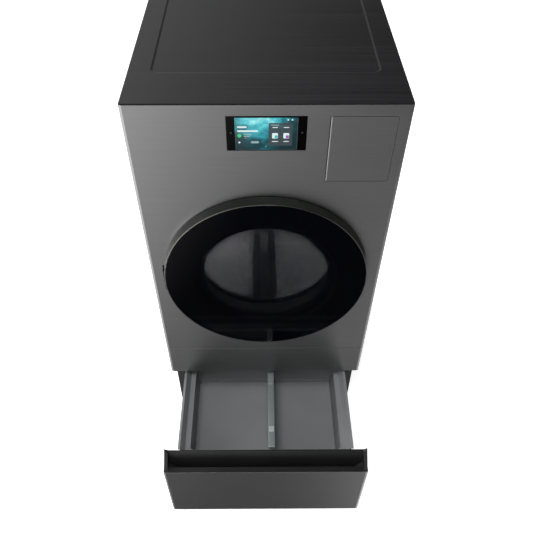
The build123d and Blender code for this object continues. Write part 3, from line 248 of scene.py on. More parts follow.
def brushed_inox(name, dark, light):
    finish = Finish(name, Metallic=1.0)
    streaks = finish.noise((5, 5, 420), 3, 0.65)
    hairlines = finish.noise((14, 14, 1500), 2, 0.6)
    clouds = finish.noise((1.6, 1.6, 2.2), 2)
    tone = streaks * 0.5 + hairlines * 0.2 + clouds * 0.3
    return finish.surface(
        Base_Color=finish.colours(tone.step(0.3, 0.7), dark, light),
        Roughness=0.35 + 0.12 * streaks + 0.04 * hairlines,
        Normal=finish.bump(streaks * 0.7 + hairlines * 0.3, 0.00003, 0.8),
    )


inox = brushed_inox("dark_brushed_inox", (0.222, 0.222, 0.223), (0.262, 0.262, 0.264))
slots = {part["node"]: part["material_slot"] for part in record["subparts"]}
homes = {node: body for body, group in record["behaviour"]["bodies"].items() for node in group}


def paint(piece, finish):
    piece.data.materials.clear()
    piece.data.materials.append(finish.material)
    return piece


def select_only(piece):
    bpy.ops.object.select_all(action="DESELECT")
    piece.select_set(True)
    bpy.context.view_layer.objects.active = piece


def edit_all(piece):
    select_only(piece)
    bpy.ops.object.mode_set(mode="EDIT")
    bpy.ops.mesh.select_all(action="SELECT")


def leave_edit():
    bpy.ops.object.mode_set(mode="OBJECT")


def apply_modifier(piece, kind, **settings):
    select_only(piece)
    made = piece.modifiers.new(kind.lower(), kind)
    for name, value in settings.items():
        setattr(made, name, value)
    bpy.ops.object.modifier_apply(modifier=made.name)
    return piece


def smooth(piece, degrees=35):
    select_only(piece)
    bpy.ops.object.shade_smooth_by_angle(angle=radians(degrees))
    return piece


def flat_faced(piece):
    """Turns the shading of small edge faces towards the large faces beside them."""
    return apply_modifier(piece, "WEIGHTED_NORMAL", keep_sharp=True, weight=50)


def belongs(piece, finish, body, slot, *replaced):
    """Paints a finished piece, hangs it on its body and lets it stand for its CAD nodes."""
    paint(piece, finish)
    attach(piece, body)
    if replaced:
        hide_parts(*replaced)
    return piece


def eased(node, finish, width=0.0007, segments=2):
    """A copy of a CAD node with its facets merged and its sharp edges rounded over.

    Where two sheets only touch along an edge, they are split there, so each keeps its own shading.
    """
    piece = nodes[node].copy()
    piece.data = nodes[node].data.copy()
    piece.name = node + "_finished"
    for key in list(piece.keys()):
        del piece[key]
    bpy.context.scene.collection.objects.link(piece)
    piece.parent = None
    edit_all(piece)
    bpy.ops.mesh.remove_doubles(threshold=0.000002)
    bpy.ops.mesh.dissolve_limited(angle_limit=radians(0.4))
    bpy.ops.mesh.select_all(action="DESELECT")
    bpy.ops.mesh.select_non_manifold(
        extend=False, use_wire=False, use_boundary=False, use_multi_face=True,
        use_non_contiguous=False, use_verts=False,
    )
    bpy.ops.mesh.edge_split(type="EDGE")
    leave_edit()
    apply_modifier(
        piece, "BEVEL", width=width, segments=segments, limit_method="ANGLE",
        angle_limit=radians(12), use_clamp_overlap=True,
    )
    flat_faced(smooth(piece))
    return belongs(piece, finish, homes[node], slots[node], node)


eased("front_panel", inox, 0.0016)
eased("lower_front_panel", inox, 0.0008)
eased("drawer_face", inox, 0.0008)
eased("access_door", inox, 0.0007)


# The top cover and the cabinet's sides: steel sheet painted satin black, with a pressed line
# round the top. The paint carries a faint side-to-side grain like the front's brushing.
def satin_black(name, dark, light, grain, roughness, relief=0.0001):
    finish = Finish(name, Specular_IOR_Level=0.44)
    streaks = finish.noise(grain, 3, 0.6)
    clouds = finish.noise((2.5, 2.5, 2.5), 2)
    return finish.surface(
        Base_Color=finish.colours((streaks * 0.75 + clouds * 0.25).step(0.3, 0.7), dark, light),
        Roughness=roughness + 0.18 * streaks,
        Normal=finish.bump(streaks, relief, 0.8),
    )


cover_paint = satin_black("black_cover", (0.003, 0.003, 0.0035), (0.009, 0.009, 0.010), (1.6, 190, 1.6), 0.34)
side_paint = satin_black(
    "black_sides", (0.012, 0.012, 0.013), (0.019, 0.019, 0.020), (380, 380, 380), 0.42, 0.00002
)
eased("top_cover", cover_paint, 0.0008)
eased("side_panels", side_paint, 0.0004)
eased("pedestal_panels", side_paint, 0.0005)
eased("pedestal_top", side_paint, 0.0006)


# The door is a tapered gloss black rim with a finger pocket at the right, round a flat sheet
# of smoked glass set flush in a thin metal trim. All of them are turned shapes on one axis.
drum_low, drum_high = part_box("drum_shell")
AXIS_Z = drum_low.z + (drum_high.z - drum_low.z) / 2
ROUND_STEPS = 224


def turned(name, outline, steps=ROUND_STEPS, x=0.0, z=AXIS_Z):
    """Spins a closed outline of (radius, y) points, in millimetres, once round an axis along Y."""
    mesh = bpy.data.meshes.new(name)
    points = [(x + radius / 1000, y / 1000, z) for radius, y in outline]
    mesh.from_pydata(points, [(i, (i + 1) % len(points)) for i in range(len(points))], [])
    piece = bpy.data.objects.new(name, mesh)
    bpy.context.scene.collection.objects.link(piece)
    edit_all(piece)
    bpy.ops.mesh.spin(steps=steps, angle=2 * pi, center=(x, 0, z), axis=(0, 1, 0))
    bpy.ops.mesh.select_all(action="SELECT")
    bpy.ops.mesh.remove_doubles(threshold=0.000005)
    bpy.ops.mesh.normals_make_consistent(inside=False)
    leave_edit()
    return flat_faced(smooth(piece, 40))


def block(name, low, high, rounding=0.0):
    """A box between two corners in millimetres, with all its edges rounded."""
    low, high = Vector(low) / 1000, Vector(high) / 1000
    bpy.ops.object.select_all(action="DESELECT")
    bpy.ops.mesh.primitive_cube_add(size=1, location=(low + high) / 2)
    piece = bpy.context.object
    piece.name = name
    piece.scale = high - low
    bpy.ops.object.transform_apply(location=True, rotation=True, scale=True)
    if rounding:
        edit_all(piece)
        bpy.ops.mesh.bevel(offset=rounding / 1000, segments=3, affect="EDGES")
        leave_edit()
        smooth(piece)
    return piece


def cut(piece, *cutters):
    """Cuts other solids out of a piece, and removes them."""
    for cutter in cutters:
        apply_modifier(piece, "BOOLEAN", operation="DIFFERENCE", object=cutter, solver="EXACT")
        bpy.data.objects.remove(cutter)
    return flat_faced(smooth(piece, 32))


rim_black = Finish("door_rim_black", Coat_Weight=0.3, Coat_Roughness=0.06, Specular_IOR_Level=0.35)
rim_flow = rim_black.noise((9, 9, 9), 2)
rim_black.surface(
    Base_Color=rim_black.colours(rim_flow.step(0.35, 0.65), (0.006, 0.007, 0.006), (0.010, 0.011, 0.010)),
    Roughness=0.24 + 0.06 * rim_flow,
    Normal=rim_black.bump(rim_black.noise((60, 60, 60), 2), 0.00001, 0.4),
)
rim = turned("door_rim_gloss", [
    (304.2, -402), (305, -402.8), (305, -406), (304.6, -407.6), (300.4, -427.4), (299.9, -428.2),
    (298.4, -428.2), (298.4, -425.8), (286, -425.8), (286, -402),
])
cut(
    rim,
    block("grip_cutter", (278, -423, 841), (310, -400, 971), 6),
    block("hinge_cutter", (-310, -424, 854), (-276, -400, 958)),
)
belongs(rim, rim_black, "door", "black_gloss_plastic", "door_rim")

trim_metal = Finish("door_trim_metal", Metallic=1.0)
trim_grain = trim_metal.noise((300, 300, 300), 2)
trim_metal.surface(
    Base_Color=trim_metal.colours(trim_grain, (0.16, 0.15, 0.125), (0.21, 0.20, 0.175)),
    Roughness=0.28 + 0.1 * trim_grain,
)
trim = turned("door_trim_ring", [
    (298.35, -429.4), (298.6, -429.9), (299.5, -429.9), (300.1, -429.2), (300.25, -428.3), (298.35, -428.3),
])
belongs(trim, trim_metal, "door", "black_gloss_plastic")

smoked = Finish("smoked_glass", IOR=1.48)
smoke = smoked.noise((3, 3, 3), 1)
smoked.surface(
    Base_Color=smoked.colours(smoke, (0.0006, 0.0008, 0.0022), (0.001, 0.0012, 0.0034)),
    Roughness=0.03 + 0.02 * smoke,
    Alpha=0.66,
)
glass = turned("door_glass_sheet", [
    (0.01, -430), (297.2, -430), (297.9, -429.4), (298, -426.6), (297.6, -426), (0.01, -426),
])
belongs(glass, smoked, "door", "tinted_glass", "door_glass")


# Behind the glass: a black moulded ring that holds the pressed glass bowl, which keeps the
# laundry in the drum. The bowl's flange is clamped round its edge, and its nose is rounded.
satin_plastic = Finish("black_moulding")
moulding = satin_plastic.noise((900, 900, 900), 2)
satin_plastic.surface(
    Base_Color=satin_plastic.colours(moulding, (0.016, 0.016, 0.017), (0.026, 0.026, 0.027)),
    Roughness=0.42 + 0.12 * moulding,
    Normal=satin_plastic.bump(moulding, 0.00002, 0.5),
)
ring_black = Finish("door_ring_black")
ring_grain = ring_black.noise((900, 900, 900), 2)
ring_black.surface(
    Base_Color=ring_black.colours(ring_grain, (0.004, 0.004, 0.0045), (0.007, 0.007, 0.0075)),
    Roughness=0.38 + 0.12 * ring_grain,
)
ring = turned("door_inner_ring_moulded", [
    (285.8, -425.7), (285.8, -402.4), (285.4, -402), (281, -402), (279, -405), (240, -407),
    (216, -405), (212, -402), (200.4, -402), (200, -402.4), (200, -411.6), (206, -411.8),
    (206, -418.2), (215.4, -425.2), (216.2, -425.7),
])
cut(
    ring,
    block("ring_grip_cutter", (272, -423, 838), (300, -400, 974), 5),
    block("ring_hinge_cutter", (-310, -424, 854), (-276, -400, 958)),
    block("ring_leaf_cutter", (-302, -422, 882), (-230, -400, 930)),
    block("ring_hook_cutter", (256.9, -404.1, 885.9), (272, -400, 926.1)),
)
belongs(ring, ring_black, "door", "black_plastic", "door_inner_ring")

clear = Finish("pressed_glass", IOR=1.5)
ripple = clear.noise((40, 40, 40), 2)
clear.surface(
    Base_Color=clear.colours(ripple, (0.015, 0.017, 0.019), (0.03, 0.033, 0.036)),
    Roughness=0.03 + 0.04 * ripple,
    Alpha=0.22,
    Normal=clear.bump(ripple, 0.0004, 0.35),
)
bowl = turned("door_bowl_pressed", [
    (0.01, -267), (128, -267.2), (142, -269.5), (151, -274.5), (157, -283), (159, -292), (183, -404),
    (185.5, -410), (189, -412), (205.2, -412), (205.8, -412.8), (205.8, -417), (205, -417.8), (196, -417.8),
    (187, -417), (181, -412), (178, -404), (153.4, -293), (151, -285), (146.5, -279), (140, -275),
    (128, -273.2), (0.01, -273),
])
belongs(bowl, clear, "door", "clear_glass", "door_bowl")


# The door's steel hardware: a leaf that turns on the hinge pin, a latch hook on the back, the
# hinge bracket behind the front panel and the lock housing that the hook enters.
def plated_steel(name, dark, light, roughness):
    finish = Finish(name, Metallic=1.0)
    grain = finish.noise((220, 220, 220), 3)
    return finish.surface(
        Base_Color=finish.colours(grain.step(0.3, 0.7), dark, light),
        Roughness=roughness + 0.15 * grain,
        Normal=finish.bump(grain, 0.00002, 0.4),
    )


bright_steel = plated_steel("zinc_plate", (0.55, 0.55, 0.56), (0.72, 0.72, 0.72), 0.22)
black_steel = plated_steel("black_steel", (0.035, 0.035, 0.036), (0.06, 0.06, 0.062), 0.34)
eased("door_hardware", black_steel, 0.0006)
eased("door_hinge", black_steel, 0.0006)
eased("door_lock", satin_plastic, 0.0008)


# The gasket is a moulded rubber bellows. Its front edge grips the porthole and ends in a lip
# that seals on the bowl, and its back edge is clamped to the tub.
rubber = Finish("gasket_rubber")
bloom = rubber.noise((70, 70, 70), 3)
rubber.surface(
    Base_Color=rubber.colours(bloom, (0.075, 0.078, 0.082), (0.11, 0.115, 0.12)),
    Roughness=0.52 + 0.15 * bloom,
    Normal=rubber.bump(rubber.noise((700, 700, 700), 2), 0.00003, 0.5),
)
gasket = turned("door_gasket_bellows", [
    (187.2, -395.2), (188.2, -397.6), (190.5, -398.4), (209.8, -398.4), (210.3, -397.6), (210.3, -386.5),
    (209.4, -385.2), (206.6, -385), (206.3, -378), (204.5, -375.5), (204.5, -373), (207.6, -371),
    (208.7, -368.5), (208.8, -342), (208, -341.1), (204.6, -341.1), (203.9, -342), (203.6, -366),
    (200.4, -370), (200.2, -377), (202, -381), (200.5, -385.5), (196.5, -388), (190, -391),
])
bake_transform(paint(gasket, rubber))
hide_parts("door_gasket")


# The drum is rolled from thin stainless sheet with raised cushions and closed by a pressed back.
# Its drain holes are not cut: each is painted as a near-black disc, painted shade for the dark
# seen through it. Three grey paddles are fixed along its inside.
HOLES_ROUND = 126
HOLE_PITCH = 2 * pi * 0.298 / HOLES_ROUND
drum_steel = Finish("punched_stainless", Metallic=1.0)
px, py, pz = drum_steel.axes()
turn = (px.maths("ARCTAN2", pz - AXIS_Z)) / (2 * pi)


def lattice(turns_value, along, count, pitch):
    """Distance from the nearest point of a staggered lattice, in pitches."""
    row = along / (pitch * 0.866)
    shift = row.maths("FLOOR").maths("PINGPONG", 1.0) * 0.5
    across = (turns_value * count + shift).maths("FRACT") - 0.5
    up = (row.maths("FRACT") - 0.5) * 0.866
    return (across * across + up * up).maths("SQRT")


hole_edge = lattice(turn, py, HOLES_ROUND, HOLE_PITCH)
hole = 1 - hole_edge.step(0.13, 0.19)
cushion = 1 - lattice(turn, py, HOLES_ROUND / 3, HOLE_PITCH * 3).step(0.12, 0.46)
scuffs = drum_steel.noise((30, 120, 30), 3)
drum_steel.surface(
    # The holes are painted near-black and dull: painted shade standing for the dark seen through them.
    Base_Color=drum_steel.colours(hole, (0.62, 0.63, 0.64), (0.01, 0.01, 0.01)),
    Metallic=1 - 0.9 * hole,
    Roughness=0.16 + 0.16 * scuffs + 0.4 * hole,
    Normal=drum_steel.bump(cushion - hole * 0.35, 0.006, 1.0),
)
drum = turned("drum_shell_punched", [
    (205.5, -321.2), (207.5, -322), (294, -322), (297, -320.8), (298, -317.5), (298, 231), (297, 234.6),
    (294, 236), (0.01, 236), (0.01, 235), (60, 235), (66, 229), (160, 229), (168, 235), (293.4, 235),
    (296.2, 233.4), (297, 230.5), (297, -317), (296, -319.8), (293.5, -321), (208, -321), (206, -320.4),
], steps=240)
belongs(drum, drum_steel, "drum", "stainless_drum", "drum_shell")

paddle_grey = Finish("paddle_grey")
paddle_grain = paddle_grey.noise((500, 500, 500), 2)
paddle_grey.surface(
    Base_Color=paddle_grey.colours(paddle_grain, (0.030, 0.031, 0.033), (0.042, 0.043, 0.046)),
    Roughness=0.38 + 0.12 * paddle_grain,
)
eased("drum_lifters", paddle_grey, 0.003, 3)

FRONT_LAMP = (0.11, -0.25, AXIS_Z + 0.13)
FRONT_AIM = (0.12, 0.1, AXIS_Z - 0.2)
BACK_LAMP = (0.07, 0.21, AXIS_Z - 0.15)
BACK_AIM = (0.15, 0.12, AXIS_Z - 0.27)
for name, side in (("left", -1), ("right", 1)):
    mirror = Vector((side, 1, 1))
    soft_light("drum_front_" + name, mirror * Vector(FRONT_LAMP), mirror * Vector(FRONT_AIM), 0.03, 0.4)
    soft_light("drum_back_" + name, mirror * Vector(BACK_LAMP), mirror * Vector(BACK_AIM), 0.012, 0.9)


# The touch display: a black cover glass flush in the front panel, and behind it a lit screen.
# The screen shows plain shapes only: a glowing field, a card with two cube symbols and bars.
low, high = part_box("display_glass")
GLASS_FRONT = low.y * 1000
screen_black = Finish("display_black_glass", IOR=1.26)
screen_depth = screen_black.noise((20, 20, 20), 1)
screen_black.surface(
    Base_Color=screen_black.colours(screen_depth, (0.001, 0.001, 0.0012), (0.002, 0.002, 0.0022)),
    Roughness=0.06 + 0.04 * screen_depth,
)
eased("display_glass", screen_black, 0.0004)

glow = Finish("screen_glow", Emission_Strength=1.0, Roughness=0.2)
gx, gy, gz = glow.axes()
left_to_right = (gx + 0.075) / 0.150
bottom_to_top = (gz - 1.358) / 0.091
veil = glow.noise((28, 28, 46), 3, 0.6)
wave = (left_to_right * 9 + bottom_to_top * 5 + veil * 4).maths("SINE") * 0.5 + 0.5
sideways = left_to_right - 0.38
sweep = bottom_to_top * 0.8 + (veil - 0.5) * 1.1 + 0.12 - sideways * sideways * 1.9
sky = glow.node("ShaderNodeValToRGB", {"stops": [
    (0.0, (0.0, 0.012, 0.018)), (0.3, (0.002, 0.045, 0.06)), (0.55, (0.008, 0.20, 0.25)),
    (0.78, (0.06, 0.50, 0.56)), (1.0, (0.35, 0.85, 0.86)),
]}, [sweep + wave * 0.08])
glow.surface(Base_Color=(0.01, 0.02, 0.02), Emission_Color=sky)


def rounded_plate(name, x, z, y, corner, thickness=0.12):
    """A thin plate facing the front, in millimetres, with rounded corners."""
    piece = block(name, (x[0], y - thickness, z[0]), (x[1], y, z[1]))
    edit_all(piece)
    bpy.ops.mesh.select_all(action="DESELECT")
    leave_edit()
    for edge in piece.data.edges:
        ends = [piece.data.vertices[i].co for i in edge.vertices]
        edge.select = abs(ends[0].y - ends[1].y) > 0.00001
    bpy.ops.object.mode_set(mode="EDIT")
    bpy.ops.mesh.select_mode(type="EDGE")
    bpy.ops.mesh.bevel(offset=corner / 1000, segments=6, affect="EDGES")
    leave_edit()
    return smooth(piece)


def lit(name, colour, strength=1.0, alpha=1.0):
    """A plain glowing finish with a slight unevenness, for screen symbols."""
    finish = Finish(name, Emission_Strength=strength, Roughness=0.3, Alpha=alpha)
    level = finish.noise((60, 60, 60), 1)
    dimmer = tuple(c * 0.8 for c in colour)
    return finish.surface(
        Base_Color=(0.01, 0.01, 0.01), Emission_Color=finish.colours(level, dimmer, colour)
    )


SCREEN_X = (-76.0, 74.5)
SCREEN_Z = (1358.0, 1446.5)
LAYER = 0.14
screen = rounded_plate("screen_field", SCREEN_X, SCREEN_Z, GLASS_FRONT, 1.0)
belongs(screen, glow, "cabinet", "display_glass")
card_finish = lit("screen_card", (0.045, 0.065, 0.075), 1.0, 0.72)
card = rounded_plate("screen_card", (5, 62), (1369, 1433), GLASS_FRONT - LAYER, 4)
belongs(card, card_finish, "cabinet", "display_glass")
white_light = lit("screen_white", (0.80, 0.92, 0.93))
soft_white = lit("screen_soft_white", (0.30, 0.42, 0.44))
green_light = lit("screen_green", (0.05, 0.62, 0.22))
teal_light = lit("screen_teal", (0.05, 0.50, 0.45))
violet_light = lit("screen_violet", (0.30, 0.10, 0.42))
coral_light = lit("screen_coral", (0.75, 0.22, 0.10))
bars = [
    ("screen_bar_1", (-70, -47), (1419.5, 1424), white_light, 2),
    ("screen_bar_2", (-70, -20), (1408.5, 1413), white_light, 2),
    ("screen_bar_3", (-55, -34), (1400, 1402.4), soft_white, 2),
    ("screen_bar_4", (-55, -40), (1394.5, 1397), soft_white, 2),
    ("screen_bar_5", (10, 30), (1426, 1428), soft_white, 2),
    ("screen_bar_6", (14, 27), (1419.5, 1421.5), white_light, 2),
    ("screen_bar_7", (41, 54), (1419.5, 1421.5), white_light, 2),
    ("screen_bar_8", (13, 28), (1380.5, 1382.6), white_light, 2),
    ("screen_bar_9", (41, 54), (1380.5, 1382.6), white_light, 2),
    ("screen_pill", (-38, -18), (1376.5, 1382.5), soft_white, 2),
    ("screen_home", (-68, -63), (1376.5, 1381.5), white_light, 2),
    ("screen_dot_1", (49, 53), (1439, 1443), white_light, 2),
    ("screen_dot_2", (59, 63), (1439, 1443), white_light, 2),
    ("screen_dot_3", (-3, 0), (1366, 1368.5), soft_white, 2),
    ("screen_round", (-70, -60), (1393, 1403), green_light, 2),
    ("screen_spark", (-52, -49), (1390, 1392.4), coral_light, 2),
]
for name, x, z, finish, layers in bars:
    corner = min(x[1] - x[0], z[1] - z[0]) / 2 - 0.05
    bar = rounded_plate(name, x, z, GLASS_FRONT - LAYER * layers, corner)
    belongs(bar, finish, "cabinet", "display_glass")
for name, middle, side_finish in (("teal", 20.5, teal_light), ("violet", 47.5, violet_light)):
    across = (middle - 7, middle + 7)
    cube = rounded_plate("screen_cube_" + name, across, (1390, 1405), GLASS_FRONT - LAYER * 2, 2.5)
    belongs(cube, white_light, "cabinet", "display_glass")
    across = (middle - 1, middle + 6.5)
    face = rounded_plate("screen_side_" + name, across, (1391, 1399), GLASS_FRONT - LAYER * 3, 2)
    belongs(face, side_finish, "cabinet", "display_glass")

touch_grey = lit("touch_mark", (0.05, 0.05, 0.05), 0.6)
for name, x in (("left", -85.5), ("right", 85.5)):
    mark = rounded_plate("touch_mark_" + name, (x - 2.2, x + 2.2), (1403.3, 1407.7), GLASS_FRONT, 2.1)
    belongs(mark, touch_grey, "cabinet", "display_glass")


# A small pressed mark on the right edge of the access door shows where to push it, and behind
# the door are its frame, the dispenser housing, the detergent drawer and the lint filter.
push = rounded_plate("access_push_mark", (303.0, 304.2), (1349, 1361), -400, 0.5, 0.25)
mark_metal = plated_steel("mark_metal", (0.16, 0.16, 0.165), (0.22, 0.22, 0.225), 0.3)
belongs(push, mark_metal, "access_door", "dark_inox")


def grained_plastic(name, dark, light, roughness=0.45):
    finish = Finish(name)
    grain = finish.noise((800, 800, 800), 3)
    clouds = finish.noise((6, 6, 6), 2)
    return finish.surface(
        Base_Color=finish.colours((grain * 0.6 + clouds * 0.4).step(0.3, 0.7), dark, light),
        Roughness=roughness + 0.12 * grain,
        Normal=finish.bump(grain, 0.00003, 0.6),
    )


pale_plastic = grained_plastic("pale_moulding", (0.32, 0.33, 0.335), (0.38, 0.39, 0.395))
tank_grey = grained_plastic("dispenser_grey", (0.15, 0.155, 0.16), (0.19, 0.195, 0.20))
eased("access_frame", satin_plastic, 0.0005)
eased("dispenser_housing", pale_plastic, 0.0008)
eased("dispenser_drawer", tank_grey, 0.0012)
eased("lint_filter", tank_grey, 0.0012)


# The drawer: a black hand scoop along the top of the steel front, a moulded grey bin with a
# ledge all round, and a pale divider whose cap has a joint and a small clip.
scoop_black = grained_plastic("scoop_black", (0.006, 0.006, 0.0063), (0.010, 0.010, 0.0104), 0.36)
eased("drawer_scoop", scoop_black, 0.0009)
bin_grey = grained_plastic("bin_grey", (0.135, 0.140, 0.142), (0.17, 0.176, 0.178), 0.42)
eased("drawer_bin", bin_grey, 0.0014, 3)

divider_grey = grained_plastic("divider_grey", (0.105, 0.122, 0.124), (0.135, 0.152, 0.154), 0.36)
eased("drawer_divider", divider_grey, 0.0008)
CAP_LEFT, CAP_RIGHT = 10.0, 33.0
CAP_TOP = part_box("drawer_divider")[1].z * 1000


def on_cap(name, inset, y, height, rounding):
    """A block on the divider's cap, inset from the cap's sides."""
    low = (CAP_LEFT + inset, y[0], CAP_TOP - 1)
    high = (CAP_RIGHT - inset, y[1], CAP_TOP + height)
    return block(name, low, high, rounding)


for name, y in (
    ("front_segment", (-680, -629)), ("long_segment", (-604, -498.5)),
    ("rear_segment", (-495.5, -433.5)), ("back_segment", (-431, -334)),
):
    strip = on_cap("divider_" + name, 1.5, y, 1.2, 0.6)
    belongs(strip, divider_grey, "drawer", "light_grey_plastic")
clip_white = grained_plastic("clip_pale", (0.24, 0.26, 0.27), (0.31, 0.33, 0.34), 0.3)
clip = on_cap("divider_clip", 3, (-627.5, -606), 3, 1.2)
notch = block("clip_notch", (CAP_LEFT + 7, -622, CAP_TOP + 1), (CAP_RIGHT - 7, -612, CAP_TOP + 5), 0.8)
cut(clip, notch)
belongs(clip, clip_white, "drawer", "light_grey_plastic")
for name, y in (("a", -682.5), ("b", -434.2)):
    tab = on_cap("divider_tab_" + name, 2, (y, y + 2), 2.2, 0.7)
    belongs(tab, clip_white, "drawer", "light_grey_plastic")
for number, z in enumerate((212, 224)):
    for name, x in (("bin_rib_", (-252, 14)), ("bin_rib_right_", (29, 252))):
        rib = block(name + str(number), (x[0], -331, z - 1.2), (x[1], -328, z + 1.2), 0.5)
        belongs(rib, bin_grey, "drawer", "grey_plastic")


# Galvanised steel: the slides, the pans, the back sheet and the cross braces. The zinc shows a
# soft spangle, and it is a little dull.
zinc = Finish("galvanised", Metallic=1.0)
flakes = zinc.node(
    "ShaderNodeTexVoronoi", {"feature": "F1"},
    {"Vector": zinc.place(), "Scale": 90.0}, output="Distance",
)
dull = zinc.noise((14, 14, 14), 3)
zinc.surface(
    Base_Color=zinc.colours(
        (flakes * 0.7 + dull * 0.5).step(0.2, 0.8), (0.30, 0.31, 0.32), (0.44, 0.45, 0.46)
    ),
    Roughness=0.34 + 0.2 * dull,
    Normal=zinc.bump(flakes, 0.00002, 0.3),
)
for node in (
    "rail_outer", "rail_middle", "rail_inner", "pedestal_base", "base_pan", "cross_braces", "back_panel",
):
    eased(node, zinc, 0.0004)
paint(nodes["heat_pump_deck"], zinc)


# Small fixings: pan-head screws with a hexagon socket. They hold the back sheet, its service
# cover and the pedestal's flanges.
def screw(name, place, facing, body, slot, finish, radius=4.0, height=2.2):
    bpy.ops.object.select_all(action="DESELECT")
    bpy.ops.mesh.primitive_cylinder_add(vertices=24, radius=radius / 1000, depth=height / 1000)
    piece = bpy.context.object
    piece.name = name
    edit_all(piece)
    bpy.ops.mesh.bevel(offset=0.0006, segments=2, affect="EDGES")
    leave_edit()
    bpy.ops.object.select_all(action="DESELECT")
    bpy.ops.mesh.primitive_cylinder_add(
        vertices=6, radius=radius * 0.45 / 1000, depth=height / 1000, location=(0, 0, height * 0.6 / 1000)
    )
    cut(piece, bpy.context.object)
    direction = Vector(facing)
    piece.rotation_euler = direction.to_track_quat("Z", "Y").to_euler()
    piece.location = Vector(place) / 1000 + direction * height / 2000
    select_only(piece)
    bpy.ops.object.transform_apply(location=True, rotation=True, scale=True)
    return belongs(piece, finish, body, slot)


dark_screw = plated_steel("black_screw", (0.05, 0.05, 0.05), (0.09, 0.09, 0.09), 0.3)
BACK_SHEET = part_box("back_panel")[1].y * 1000
places = [(x, z) for x in (-155, 0, 155) for z in (752, 1060)]
for number, (x, z) in enumerate(places):
    screw(
        "service_screw_%d" % number, (x, BACK_SHEET, z), (0, 1, 0),
        "cabinet", "galvanised_steel", bright_steel,
    )
places = [(x, z) for x in (-330, 330) for z in (410, 670, 930, 1190, 1460)]
for number, (x, z) in enumerate(places):
    screw(
        "back_screw_%d" % number, (x, 398, z), (0, 1, 0), "cabinet", "galvanised_steel", bright_steel
    )
for side in (-1, 1):
    for number, z in enumerate((100, 352)):
        screw(
            "flange_screw_%s%d" % ("left" if side < 0 else "right", number),
            (side * 329, -320, z), (0, -1, 0), "cabinet", "black_painted_steel", dark_screw, 3.5,
        )


# Feet, pipes and inlets that show outside: black moulded feet, a white valve block with two
# threaded necks, the drain spigot and the mains inlet.
foot_black = grained_plastic("foot_black", (0.02, 0.02, 0.02), (0.03, 0.03, 0.03), 0.5)
for node in ("pedestal_feet", "washer_feet", "drain_outlet", "power_inlet"):
    eased(node, foot_black, 0.0006)
white_moulding = grained_plastic("white_moulding", (0.62, 0.62, 0.60), (0.70, 0.70, 0.68), 0.4)
eased("water_valve", white_moulding, 0.0005)
for number, x in enumerate((220, 270)):
    for ridge in range(5):
        y = 401 + ridge * 2.6
        thread = turned("inlet_thread_%d%d" % (number, ridge), [
            (13.2, y), (14.1, y + 0.7), (14.1, y + 1.1), (13.2, y + 1.8), (12.8, y + 0.9),
        ], steps=48, x=x / 1000, z=1.405)
        belongs(thread, white_moulding, "cabinet", "white_plastic")


# Suspension: four coil springs hang the tub from the braces, and four friction dampers stand
# under it. Each spring is one evenly coiled wire.
def coil_spring(name, x, y, z, radius, wire, turns):
    path = bpy.data.curves.new(name, "CURVE")
    path.dimensions = "3D"
    path.bevel_depth = wire
    path.bevel_resolution = 3
    line = path.splines.new("POLY")
    count = turns * 16 + 1
    line.points.add(count - 1)
    for number in range(count):
        share = number / (count - 1)
        angle = 2 * pi * turns * share
        line.points[number].co = (
            x + radius * cos(angle), y + radius * sin(angle), z[0] + wire + (z[1] - z[0] - 2 * wire) * share, 1,
        )
    spring = bpy.data.objects.new(name, path)
    bpy.context.scene.collection.objects.link(spring)
    select_only(spring)
    bpy.ops.object.convert(target="MESH")
    return bpy.context.object


low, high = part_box("suspension_springs")
springs = []
for x in (low.x + 0.012, high.x - 0.012):
    for y in (low.y + 0.012, high.y - 0.012):
        springs.append(coil_spring("suspension_spring", x, y, (low.z, high.z), 0.0102, 0.0017, 28))
bpy.ops.object.select_all(action="DESELECT")
for spring in springs:
    spring.select_set(True)
bpy.context.view_layer.objects.active = springs[0]
bpy.ops.object.join()
coils = bpy.context.object
coils.name = "suspension_coils"
smooth(coils)
paint(coils, bright_steel)
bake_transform(coils)
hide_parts("suspension_springs")


# Rubber bellows join the tub to the air ports above it and to the pump below it.
# Each is a short convoluted sleeve.
def bellows(name, x, y, z, radius, folds):
    wall, depth = 0.0022, 0.003
    step = (z[1] - z[0]) / (2 * folds)
    outline = []
    for number in range(2 * folds + 1):
        outline.append((radius - (depth if number % 2 else 0), z[0] + number * step))
    for number in range(2 * folds, -1, -1):
        outline.append((radius - wall - (depth if number % 2 else 0), z[0] + number * step))
    mesh = bpy.data.meshes.new(name)
    points = [(x + r, y, height) for r, height in outline]
    mesh.from_pydata(points, [(i, (i + 1) % len(points)) for i in range(len(points))], [])
    piece = bpy.data.objects.new(name, mesh)
    bpy.context.scene.collection.objects.link(piece)
    edit_all(piece)
    bpy.ops.mesh.spin(steps=64, angle=2 * pi, center=(x, y, 0), axis=(0, 0, 1))
    bpy.ops.mesh.select_all(action="SELECT")
    bpy.ops.mesh.remove_doubles(threshold=0.000005)
    bpy.ops.mesh.normals_make_consistent(inside=False)
    leave_edit()
    return smooth(piece, 50)


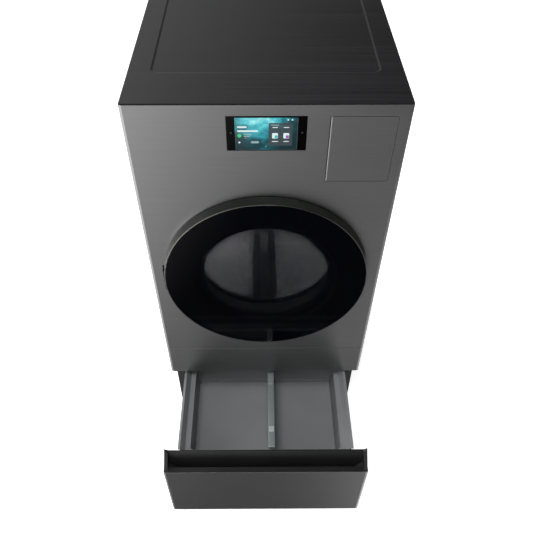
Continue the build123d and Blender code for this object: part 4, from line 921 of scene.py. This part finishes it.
UPPER = (1.2262, 1.2438)
LOWER = (0.4822, 0.5838)
for name, x, y in (("front", 0.090, -0.250), ("rear", -0.060, 0.240)):
    sleeve = bellows("air_bellows_" + name, x, y, UPPER, 0.048, 2)
    paint(sleeve, rubber)
    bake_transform(sleeve)
    if name == "front":
        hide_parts("tub_bellows")
sump = bellows("sump_bellows", 0.120, -0.250, LOWER, 0.026, 7)
paint(sump, rubber)
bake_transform(sump)


# The rest of the works inside the cabinet keeps its shape and takes its own finish: moulded tub
# and cases, cast weights and spider, copper pipes, an enamelled compressor and a wound stator.
tub_plastic = grained_plastic("tub_moulding", (0.28, 0.285, 0.29), (0.34, 0.345, 0.35), 0.5)
for node in ("tub_front", "tub_rear", "heat_exchanger_case", "blower_housing"):
    paint(nodes[node], tub_plastic)
paint(nodes["drain_pump"], white_moulding)
for node in ("display_module", "blower_wheel", "pump_impeller", "damper_cylinders"):
    paint(nodes[node], foot_black)
paint(nodes["drain_hose"], rubber)
paint(nodes["damper_rods"], bright_steel)
paint(nodes["bearings"], bright_steel)

concrete = Finish("cast_concrete")
pebbles = concrete.noise((120, 120, 120), 4, 0.7)
concrete.surface(
    Base_Color=concrete.colours(pebbles.step(0.3, 0.7), (0.22, 0.215, 0.20), (0.36, 0.355, 0.34)),
    Roughness=0.85 + 0.1 * pebbles,
    Normal=concrete.bump(pebbles, 0.0008, 0.7),
)
paint(nodes["counterweights"], concrete)

alloy = plated_steel("cast_alloy", (0.42, 0.42, 0.43), (0.54, 0.54, 0.55), 0.42)
for node in ("heat_pump_coils", "drum_spider"):
    paint(nodes[node], alloy)
copper = plated_steel("copper_tube", (0.55, 0.26, 0.16), (0.68, 0.36, 0.24), 0.28)
paint(nodes["refrigerant_pipes"], copper)
enamel = satin_black("black_enamel", (0.012, 0.012, 0.012), (0.02, 0.02, 0.02), (80, 80, 80), 0.3)
for node in ("compressor", "rotor"):
    paint(nodes[node], enamel)
windings = Finish("wound_copper", Metallic=0.6)
strands = windings.noise((200, 900, 200), 3)
windings.surface(
    Base_Color=windings.colours(strands.step(0.35, 0.65), (0.20, 0.09, 0.05), (0.50, 0.24, 0.13)),
    Roughness=0.35 + 0.2 * strands,
    Normal=windings.bump(strands, 0.0003, 0.6),
)
paint(nodes["stator"], windings)
